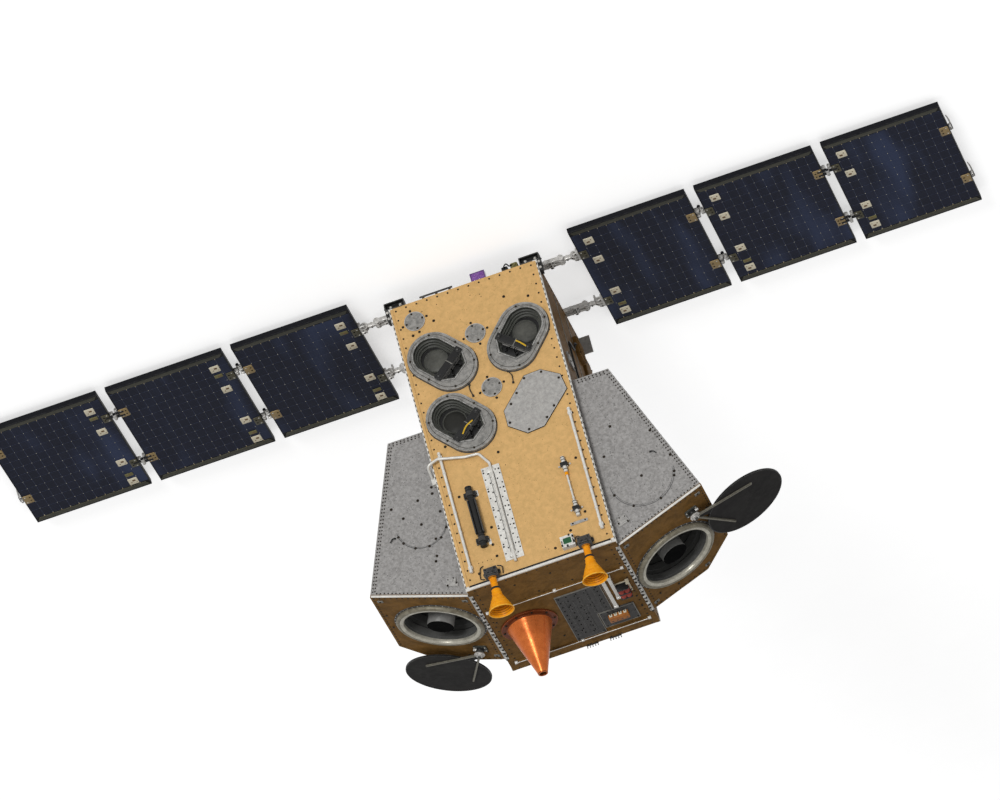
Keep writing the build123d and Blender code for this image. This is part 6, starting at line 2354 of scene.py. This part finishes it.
# ------------------------------------------------------------------ walls, base and back
@dataclass
class Lower:
    """Corner boxes, reflector, connectors, side duct, ring bolts and back panels.

    Attributes:
        bus: The body.
    """

    bus: Bus

    def build(self) -> None:
        """Makes all the parts."""
        self.corner_boxes()
        self.hanging_parts()
        self.side_parts()
        self.back_parts()
        self.ring_parts()

    def corner_boxes(self) -> None:
        """Grey rims, bolts and a light edge line on the two black corner boxes."""
        bus = self.bus
        facet = bus.face_front()
        rims, heads, caps = [], [], []
        for s in (-1, 1):
            x = s * (bus.half_width + 17 - 45)
            rim = framed(box_outline(91, 35, 3), box_outline(82, 26, 2), 0, 2.2, 0.8)
            rims.append(rim.moved((x, -17, 0)))
            caps.append(sheet((13, 50, 3), (0, 2.4, 1), (s * (bus.half_width + 10.4), 28)))
            heads += [(s * (bus.half_width + 10.4), z, 2.2) for z in (12, 42)]
            heads += [(x + dx, -17, -14) for dx in (-24, 20)]
        side_caps = []
        for side in Side:
            face = bus.face_side(side).turned((0, 0, 17.2), 0.0)
            start = side.value * (bus.front + 20)
            side_caps.append(face.lay(sheet((34, 76, 4), (0, 1.8, 0.8), (start, 8))))
            places = [(start - 8, -14), (start + 8, 30)]
            side_caps.append(face.lay(studs(places, bolt(3.4, 3.4), 1.6)))
        write_piece("corner_box_parts", "bus",
                    [(facet.lay(joined(rims)), DARK_PLATE), (facet.lay(joined(caps)), BLACK),
                     (facet.lay(copies(bolt(4.2, 4.2), heads)), BOLT_BRIGHT),
                     (joined(side_caps), BLACK)])

    def hanging_parts(self) -> None:
        """Bezel and glass of the reflector, a black plug, an olive connector and their lead."""
        bus = self.bus
        facet = Facet((0, bus.front + 6, bus.bottom), (1, 0, 0), (0, 0, 1))
        bezel = framed(box_outline(64, 40, 4), box_outline(54, 30, 3), 0, 3, 1).moved((-73, -21, 0))
        glass = sheet((54, 30, 3), (0, 1.6, 0.8), (-73, -21))
        prisms = copies(turning([(6.2, 1.2), (4.6, 3.6), (0.6, 4.8)], 6),
                        at_height(np.array([(-73 + du, -21 + dv) for du in (-18, -6, 6, 18)
                                            for dv in (-7, 7)]), 0))
        plug = sheet((28, 22, 4), (-24, 0, 3), (-193, -11))
        stem = sheet((34, 26, 6), (-26, 2, 4), (-236, -14))
        nut = turning([(9, 1.6), (9, 8), (7, 9.4), (4, 9.4)], 6).moved((-236, -14, 0))
        lead = wire([(-193, -12, 0), (-194, -18, 9), (-206, -26, 10), (-216, -12, 9),
                     (-227, -14, 8), (-236, -14, 7)], 3.0, (0, 0, 1))
        posts = [sheet((10, 18, 2), (-22, -2, 1.5), (x, -9)) for x in (60, 120, 180)]
        rail = sheet((150, 8, 2), (-4, 0, 1.5), (120, -14))
        facet.write("hanging_parts", "bus", "reflector_purple",
                    [(bezel, VIOLET_RIM), (glass, PURPLE), (prisms, PURPLE), (plug, BLACK),
                     (stem, OLIVE), (nut, OLIVE), (lead, BLACK_DEEP), (joined(posts), BLACK),
                     (rail, DARK_PLATE)])

    def side_parts(self) -> None:
        """Duct, cable runs and boxes on both side walls under the pods, and the plate's parts."""
        bus = self.bus
        for side in Side:
            s = side.value
            face = bus.face_side(side)
            duct = sheet((150, 500, 8), (0, 14, 4), (s * 312, 388))
            levels = (170, 290, 410, 530)
            straps = [sheet((154, 14, 3), (0, 15.2, 2), (s * 312, z)) for z in levels]
            seam = [sheet((8, 540, 2), (0, 2, 0.7), (s * y, 300)) for y in (-120, 90)]
            box = sheet((120, 90, 8), (0, 20, 4), (s * 150, 180))
            fins = [sheet((106, 3, 1), (19.6, 25, 0.6), (s * 150, z)) for z in spaced(146, 214, 11)]
            lead = wire([(s * 90, 180, 12), (s * 70, 184, 10), (s * 40, 230, 4), (s * -60, 240, 4),
                         (s * -90, 300, 4), (s * -90, 540, 4)], 4, (0, 0, 1))
            cap = sheet((90, 60, 6), (0, 8, 2), (s * -220, 420))
            heads = [(s * 312 + du, z, 14.8) for du in (-64, 0, 64) for z in levels]
            heads += [(s * -220 + du, 420 + dv, 7.8) for du in (-36, 36) for dv in (-20, 20)]
            heads += [(s * 150 + du, 180 + dv, 19.6) for du in (-52, 52) for dv in (-38, 38)]
            face.write(f"side_wall_parts_{side.label}", "bus", "bronze_wall",
                       [(duct, GOLD_PAINTED_SHADE), (joined(straps), GOLD_PAINTED_SHADE), (joined(seam), BRIGHT_DARK),
                        (box, GOLD_PAINTED_SHADE), (joined(fins), GOLD_PAINTED_SHADE), (lead, BLACK), (cap, PLATE),
                        (copies(bolt(3.4, 3.6), heads), BOLT_DARK)])

    def back_parts(self) -> None:
        """Two finned radiators, a round port, a harness and service plates on the back wall."""
        bus = self.bus
        face = bus.face_back()
        layers = []
        for u, v, w, h in ((0, 1010, 480, 520), (-40, 420, 380, 360)):
            layers.append((face.lay(sheet((w, h, 10), (0, 9, 3), (u, v))), WHITE_TRIM))
            tiles = [sheet((w / 4 - 8, h / 5 - 8, 3), (8.8, 10.4, 0.8), (u + du, v + dv))
                     for du in spaced(-w * 3 / 8, w * 3 / 8, w / 4)
                     for dv in spaced(-h * 2 / 5, h * 2 / 5, h / 5)]
            layers.append((face.lay(joined(tiles)), MIRROR_TILE))
            rim = [(u + du, v + dv) for du in (-w / 2 + 8, w / 2 - 8)
                   for dv in spaced(-h / 2 + 14, h / 2 - 14, 60)]
            layers.append((face.lay(studs(rim, bolt(3.4, 3.6), 8.8)), BOLT_DARK))
        port = turning([(52, 0), (52, 6), (47, 9), (38, 9), (36, 5), (20, 5), (18, 8), (4, 8)], 56)
        layers.append((face.lay(port.moved((235, 330, 0))), MACHINED))
        ring = [(235 + 44 * math.cos(a), 330 + 44 * math.sin(a))
                for a in np.radians(np.arange(0, 360, 45))]
        layers.append((face.lay(studs(ring, bolt(3, 3.2), 8.6)), BOLT_BRIGHT))
        runs = [[(235, 386, 4), (238, 480, 4), (272, 620, 4), (272, 1300, 4), (200, 1352, 4)],
                [(222, 386, 4), (224, 486, 4), (260, 626, 4), (260, 1292, 4), (190, 1340, 4)]]
        layers.append((face.lay(joined([wire(r, 4.2, (0, 0, 1)) for r in runs])), BLACK))
        ties = [sheet((34, 8, 2), (0, 10, 1.6), (266, z)) for z in (700, 860, 1020, 1180)]
        layers.append((face.lay(joined(ties)), CREAM))
        vent = [sheet((90, 5, 1), (0, 4, 1), (220, z)) for z in spaced(110, 190, 13)]
        layers.append((face.lay(joined(vent)), DARK_PLATE))
        grips = [wire([(-300, z, 0), (-300, z + 4, 26), (-300, z + 76, 26), (-300, z + 80, 0)], 5,
                      (1, 0, 0)) for z in (160, 700, 1240)]
        layers.append((face.lay(joined(grips)), HINGE_METAL))
        write_piece("back_parts", "bus", layers)

    def ring_parts(self) -> None:
        """Bolts on the adapter ring's flanges, its stiffening ribs and the base's fasteners."""
        face = Facet((0, 0, 0), (1, 0, 0), (0, 1, 0))
        lower = studs(circle(190.5, 24), bolt(4.6, 5), 9)
        ribs = copies(sheet((22, 4), (9, 74), (190, 0)), np.zeros((12, 3)),
                      np.arange(12) * 30 + 7.5)
        under = Facet((0, 0, self.bus.bottom - 16), (1, 0, 0), (0, -1, 0))
        heads = [(x, y) for x in spaced(-270, 270, 90) for y in (-340, 340)]
        heads += [(x, y) for x in (-270, 270) for y in spaced(-250, 250, 100)]
        plates = [sheet((120, 90, 8), (0, 6, 2), (x, y)) for x in (-215, 215) for y in (-270, 270)]
        write_piece("ring_parts", "bus",
                    [(face.lay(lower), BOLT_BRIGHT), (face.lay(ribs), MACHINED),
                     (under.lay(studs(heads, bolt(4, 4))), BOLT_DARK),
                     (under.lay(joined(plates)), DARK_PLATE)])


# ------------------------------------------------------------------ wings
@dataclass
class Wing:
    """Cells, rails, pads, hinge fittings and arms of one solar wing.

    Attributes:
        bus: The body.
        side: Which wing.
        pads: Middle y of each pad, and whether it is one of the small ones.
        start: Inner edge of the first panel from the middle plane.
        length: Panel length.
        width: Panel width.
        gap: Gap between panels.
        thick: Panel thickness.
        drop: Wing plane below the box.
        hinges: y of the hinge places.
        knuckles: Heights of the knuckles' axis, where they lie over and under the upper face.
        pitch: Cell pitch out and back.
    """

    bus: Bus
    side: Side
    pads: tuple[tuple[float, bool], ...]
    start: float = 502.0
    length: float = 533.0
    width: float = 900.0
    gap: float = 42.0
    thick: float = 22.0
    drop: float = 62.0
    hinges: tuple[float, float] = (-227.0, 227.0)
    knuckles: tuple[float, float] = (7.0, -29.0)
    pitch: tuple[float, float] = (40.5, 67.5)

    def face(self, number: int, under: bool = False) -> Facet:
        """A panel's upper or lower face: out from its inner edge across, y or -y along.

        Args:
            number: Panel number, from the bus out.
            under: Whether it is the lower face.

        Returns:
            The facet.
        """
        s = self.side.value
        level = self.bus.bottom - self.drop + (-1 if under else 1) * self.thick / 2
        start = s * (self.start + (number - 1) * (self.length + self.gap))
        return Facet((start, 0, level), (s, 0, 0), (0, -s if under else s, 0))

    def build(self) -> None:
        """Makes the three panels' skins, the hinge fittings and the root arms."""
        for number in (1, 2, 3):
            self.cells(number)
            self.fittings(number)
            self.underside(number)
        self.tips()
        self.root()

    def cells(self, number: int) -> None:
        """Thin tiles with cut corners in a grid, a light dot where four meet, and edge rails.

        Args:
            number: Panel number, from the bus out.
        """
        face, half = self.face(number), self.width / 2
        columns = int(self.length // self.pitch[0])
        rows = int((self.width - 90) // self.pitch[1])
        first = (self.length - columns * self.pitch[0]) / 2
        edges = first + np.arange(columns + 1) * self.pitch[0]
        lines = (np.arange(rows + 1) - rows / 2) * self.pitch[1]
        u, v = np.meshgrid((edges[1:] + edges[:-1]) / 2, (lines[1:] + lines[:-1]) / 2)
        tile = slab(box_outline(self.pitch[0] - 0.9, self.pitch[1] - 0.9, 3.4, 1), 0, 0.7)
        tiles = copies(tile, np.column_stack([u.ravel(), v.ravel(), np.zeros(u.size)]))
        u, v = np.meshgrid(edges[1:-1], lines)
        dots = copies(rivet(1.7, 0.9, 6),
                      np.column_stack([u.ravel(), v.ravel(), np.full(u.size, 0.6)]))
        seams = [sheet((self.length - 8, 1.5), (0, 0.95), (self.length / 2, v)) for v in lines]
        seams += [sheet((1.3, self.width - 92), (0, 1.0), (u, 0)) for u in edges[1:-1]]
        rails, borders = [], []
        for s in (-1, 1):
            middle = s * (half - 21.5)
            corners = np.array([(6, -13.5), (self.length - 6, -13.5), (self.length - 20, 13.5),
                                (20, 13.5)])
            outline = corners if s < 0 else (corners * (1, -1))[::-1]
            rails.append(slab(outline, 0, 3.2, 1.1).moved((0, middle, 0)))
            borders.append(sheet((self.length - 1, 7), (0, 3.6, 0.8),
                                 (self.length / 2, s * (half - 4))))
        for u in (2.2, self.length - 2.2):
            borders.append(sheet((3.6, self.width - 8), (0, 2.2, 0.6), (u, 0)))
        ticks = copies(rivet(2.4, 1.2, 6),
                       np.array([(u, s * (half - 39), 1.2) for u in edges[1:-1] for s in (-1, 1)]))
        face.write(f"cells_{self.side.label}_{number}", f"wing_{self.side.label}_{number}",
                   "solar_panel", [(tiles, CELL), (dots, CREAM_METAL), (joined(seams), CELL_SEAM),
                                   (joined(rails), RAIL), (joined(borders), CARBON),
                                   (ticks, TAN_PAD)])

    def fittings(self, number: int) -> None:
        """Pads with their marks, hinge plates at both edges, and the arms into the gaps.

        Args:
            number: Panel number, from the bus out.
        """
        face, s = self.face(number), self.side.value
        cream, olive, marks = [], [], []
        for y, small in self.pads:
            v = s * y
            if small:
                olive.append(sheet((36, 25, 2), (1, 3.2, 0.8), (67, v)))
                marks.append(sheet((15, 7), (3, 3.6), (64, v + 2)))
                continue
            cream.append(sheet((42, 54, 3), (1, 3.4, 0.8), (66, v)))
            marks += [sheet((14, 13, 2), (3.2, 4.0, 0.3), (62, v - 6)),
                      sheet((5, 7), (3.2, 3.9), (75, v + 8)),
                      sheet((4, 4), (3.2, 3.9), (52, v + 14))]
        plates, inner_plates, silver, heads, dark = [], [], [], [], []
        for y in self.hinges:
            v = s * y
            inner_plates.append(sheet((34, 66, 3), (0, 3.6, 1), (19, v)))
            plates.append(sheet((40, 70, 3), (0, 3.6, 1), (self.length - 22, v)))
            heads += [(u, v + dv, 3.4) for u in (11, self.length - 12) for dv in (-24, 24)]
            # Painted shade: black discs stand for the hinge plates' holes.
            dark += [(26, v + dv, 3.4)
                     for dv in (-12, 14)] + [(self.length - 32, v + dv, 3.4) for dv in (-14, 12)]
            middle = -self.thick / 2
            reach = self.gap / 2
            if number > 1:
                silver.append(self.sleeve(v, -reach, self.knuckles[0] if number == 3
                                          else self.knuckles[1]))
                silver += [self.lug(v + dv, -reach + 2.5, 1.0, middle) for dv in (-6.5, 6.5)]
                silver.append(self.coil(v + 24, -reach + 12, middle))
            if number < 3:
                silver += [self.sleeve(v + dv, self.length + reach, self.knuckles[1] if number == 1
                                       else self.knuckles[0]) for dv in (-16, 16)]
                silver += [self.lug(v + dv, self.length - 1.0, self.length + reach - 2.5, middle)
                           for dv in (-15, 15, 24)]
                silver.append(self.coil(v - 26, self.length + reach - 13, middle))
        layers = [(joined(cream), CREAM), (joined(marks), BROWN_MARK),
                  (joined(inner_plates), OLIVE_DARK), (joined(plates), TAN_PAD),
                  (copies(bolt(2.6, 1.6), heads), BOLT_BRIGHT),
                  (copies(turning([(4.4, -0.2), (4.4, 0.5), (3.6, 0.8)], 12), dark), BLACK_DEEP)]
        if olive:
            layers.append((joined(olive), OLIVE))
        if silver:
            layers.append((joined(silver), HINGE_METAL))
        write_piece(f"panel_fittings_{self.side.label}_{number}",
                    f"wing_{self.side.label}_{number}",
                    [(face.lay(shape), skin) for shape, skin in layers])

    def sleeve(self, v: float, u: float, level: float) -> Shape:
        """A bright sleeve round one knuckle of a hinge, with a rounded edge at both ends."""
        profile = [(6.8, -7.3), (7.3, -7.3), (7.8, -6.7), (7.8, 6.7), (7.3, 7.3), (6.8, 7.3)]
        return turning(profile, 20, ring=True).turned(90, "X").moved((u, v, level))

    def lug(self, v: float, start: float, end: float, middle: float) -> Shape:
        """A hinge lug across half the gap: an upright rounded plate with a pin head.

        Args:
            v: The lug's middle along the hinge.
            start: Inner end.
            end: Outer end.
            middle: Height of its middle.

        Returns:
            The lug with its pin.
        """
        width, reach = 5.0, end - start
        body = slab(box_outline(reach, 19, 6), -width / 2, width / 2, 1)
        body = body.turned(90, "X").moved(((start + end) / 2, v, middle))
        pin = turning([(3.4, -4.6), (3.4, 4.6)], 12).turned(90, "X")
        pin = pin.moved(((start + end) / 2, v, middle))
        return joined([body, pin])

    def coil(self, v: float, u: float, middle: float) -> Shape:
        """A short spring in the gap: a wire on a small circle that climbs along y.

        Args:
            v: Middle along the hinge.
            u: Way out from the inner edge.
            middle: Height of its middle.

        Returns:
            The spring.
        """
        turns = np.linspace(0, 2 * math.pi * 4, 44)
        path = np.column_stack([u + 6.5 * np.cos(turns), v - 7 + turns / turns[-1] * 14,
                                middle + 6.5 * np.sin(turns)])
        return carried(circle(1.5, 6), path, (0, 1, 0))

    def underside(self, number: int) -> None:
        """Stiffening tapes, cable runs and a small box on a panel's lower face.

        Args:
            number: Panel number, from the bus out.
        """
        face = self.face(number, True)
        tapes = [sheet((self.length - 24, 26, 3), (0, 1.6, 0.6), (self.length / 2, v))
                 for v in (-400, -300, -130, 130, 300, 400)]
        cross = [sheet((24, self.width - 40, 3), (0, 1.2, 0.5), (u, 0))
                 for u in (90, self.length / 2, self.length - 90)]
        runs = [[(14, v, 2.4), (120, v, 2.4), (260, v + 14, 2.4), (400, v, 2.4),
                 (self.length - 60, v, 2.4)] for v in (-60, -52, 60)]
        boxes = [sheet((60, 44, 5), (0, 3.8, 1.2), (self.length / 2 + du, dv))
                 for du, dv in ((-110, -56), (110, 60))]
        heads = studs([(u, v) for u in (40, 140, 393, 493) for v in (-400, -130, 130, 400)],
                      rivet(3.2, 1.6), 1.4)
        face.write(f"underside_{self.side.label}_{number}", f"wing_{self.side.label}_{number}",
                   "solar_panel", [(joined(tapes), RAIL), (joined(cross), CARBON),
                                   (joined([wire(r, 1.5, (0, 0, 1)) for r in runs]), COPPER_DARK),
                                   (joined(boxes), DARK_PLATE), (heads, BOLT_BRIGHT)])

    def tips(self) -> None:
        """Curved hooks, saddles and pins on the last panel's outer edge."""
        face, s, end = self.face(3), self.side.value, self.length
        middle = -self.thick / 2
        hooks, saddles, heads = [], [], []
        for y in self.hinges:
            v = s * y
            knots = [(end + 1, v, middle), (end + 9, v - s * 4, middle - 2),
                     (end + 12, v - s * 22, middle - 8), (end + 10, v - s * 48, middle - 17),
                     (end + 6, v - s * 70, middle - 21)]
            path = curve_through(knots, 6)
            taper = np.linspace(1.0, 0.42, len(path))
            tube = carried(circle(5.6, 12), path, (0.3, 0, 1))
            centres = np.repeat(path[:, None], 12, axis=1).reshape(-1, 3)
            scale = np.repeat(taper, 12)[:, None]
            hooks.append(Shape(centres + (tube.points - centres) * scale, tube.loops, tube.counts))
            saddles += [slab(box_outline(13, 44, 4), 0, 11, 2).moved((end + 7, v, middle - 5.5)),
                        slab(box_outline(9, 12, 3), 0, 8, 2).moved((end + 7, v + 12, middle + 4))]
            heads += [(end + 7, v - 15, middle + 5.2), (end + 7, v + 12, middle + 11.6)]
        face.write(f"tip_hooks_{self.side.label}", f"wing_{self.side.label}_3", "hinge_metal",
                   [(joined(hooks), HINGE_METAL), (joined(saddles), HINGE_METAL),
                    (copies(bolt(2.6, 2.6), heads), BOLT_DARK)])

    def root(self) -> None:
        """Sleeves, fork cheeks, saddle clamps, springs and bolts of the arms at both hinges."""
        bus, s = self.bus, self.side.value
        level = bus.bottom - self.drop
        fixed_face = Facet((0, 0, level), (s, 0, 0), (0, s, 0))
        hinge = bus.half_width + 85
        fixed, fixed_bolts, moving, moving_bolts, springs = [], [], [], [], []
        for y in self.hinges:
            v = s * y
            for dv in (-16, 16):
                sleeve = box_outline(17.4, 21, 4, 3)
                fixed.append(carried(sleeve, np.array([(345.0, v + dv, 0), (392, v + dv, 0)])))
                fixed.append(carried(box_outline(20, 24, 5, 3),
                                     np.array([(350.0, v + dv, 0), (358, v + dv, 0)])))
                cheek = turning([(14.4, -9), (14.4, -7.6), (12, -7.6), (12, 7.6), (14.4, 7.6),
                                 (14.4, 9), (6, 10.4)], 32)
                fixed.append(cheek.turned(90, "X").moved((hinge, v + dv, 0)))
                fixed_bolts += [(360 + du, v + dv, 10.2) for du in (6, 24)]
            fixed.append(sheet((16, 60, 4), (9, 14, 1.6), (372, v)))
            fixed_bolts += [(372, v + dv, 13.8) for dv in (-22, 0, 22)]
            arm_end = self.start
            moving.append(carried(box_outline(17, 19.4, 4, 3),
                                  np.array([(hinge + 17.0, v, 0), (arm_end - 12, v, 0)])))
            for u in (hinge + 24, hinge + 44):
                moving.append(carried(box_outline(21, 23, 6, 3),
                                      np.array([(u, v, 0.0), (u + 7, v, 0)])))
            saddle = turning([(17, -13), (17, -9), (13.6, -9), (13.6, 9), (17, 9), (17, 13),
                              (9, 13), (9, -13)], 28, ring=True).turned(90, "X")
            moving.append(saddle.moved((hinge + 60, v, 0)))
            for dv in (-27, 27):
                moving.append(sheet((26, 14, 4), (8, 13, 1.6), (arm_end - 14, v + dv)))
                moving_bolts.append((arm_end - 14, v + dv, 12.8))
                moving.append(wire([(hinge + 40, v, 6), (hinge + 52, v + dv * 0.5, 8),
                                    (arm_end - 10, v + dv, 8)], 4, (0, 0, 1)))
            moving_bolts += [(hinge + 27.5, v, 11.4), (hinge + 47.5, v, 11.4)]
            springs.append(self.coil(v, hinge - 40, 0))
        blade = sheet((8, 26, 3), (-31, 9, 2), (hinge + 46, s * self.hinges[1]))
        moving.append(blade)
        fixed_face.write(f"root_parts_{self.side.label}", "bus", "hinge_metal",
                         [(joined(fixed), HINGE_METAL), (joined(springs), BRIGHT),
                          (copies(bolt(3, 3.2), fixed_bolts), BOLT_DARK)])
        fixed_face.write(f"yoke_parts_{self.side.label}", f"wing_{self.side.label}_1",
                         "hinge_metal", [(joined(moving), HINGE_METAL),
                                         (copies(bolt(3, 3.2), moving_bolts), BOLT_DARK)])


def main() -> None:
    """Builds the sub-assemblies in order and notes the sizes."""
    logging.basicConfig(level=logging.INFO, format="%(name)s: %(message)s")
    bus = Bus()
    dress_frame()
    BusSkin(bus).build()
    for part in (Telescope(bus, Side.RIGHT, 197, 277, 12), Telescope(bus, Side.LEFT, 197, 362),
                 Cover(bus, Side.RIGHT, (84, 525), 46.5, 272.5),
                 Cover(bus, Side.LEFT, (345, 132), -35.8, 273.5)):
        part.build()
    for tracker in (StarTracker(bus, "a", (170, 330), 131, LENS_GREY),
                    StarTracker(bus, "b", (-172, 334), 49, LENS_GREY,
                                ((27, 8), (29, 34), (35, 64))),
                    StarTracker(bus, "c", (163, 642), 131, GLASS_DARK,
                                ((47, 28), (39, -9), (47, -46)))):
        tracker.build()
    FrontFittings(bus).build()
    Horn(bus, Side.RIGHT, 209).build()
    Horn(bus, Side.LEFT, -211).build()
    Cone(bus).build()
    TopDeck(bus).build()
    PodFittings(bus, Side.RIGHT, (452, 1015), 112, (12, 32, 63, 95, 127, 153),
                ((408, 1103), (359, 984), (368, 860), (372, 890), (423, 1183), (433, 1206),
                 (520, 960), (560, 900), (440, 900)), ((392, 1338),)).build()
    PodFittings(bus, Side.LEFT, (512, 1134), 143, (12, 20, 68, 118, 160),
                ((655, 1083), (380, 990), (600, 940), (440, 860)), ((384, 1322),)).build()
    Lower(bus).build()
    Wing(bus, Side.LEFT, ((-329, False), (-149, False), (161, False), (287, True),
                          (350, False))).build()
    Wing(bus, Side.RIGHT, ((-328, False), (-260, True), (-128, False), (185, False), (310, True),
                           (375, False))).build()
    Studio().build()


if __name__ == "__main__":
    main()
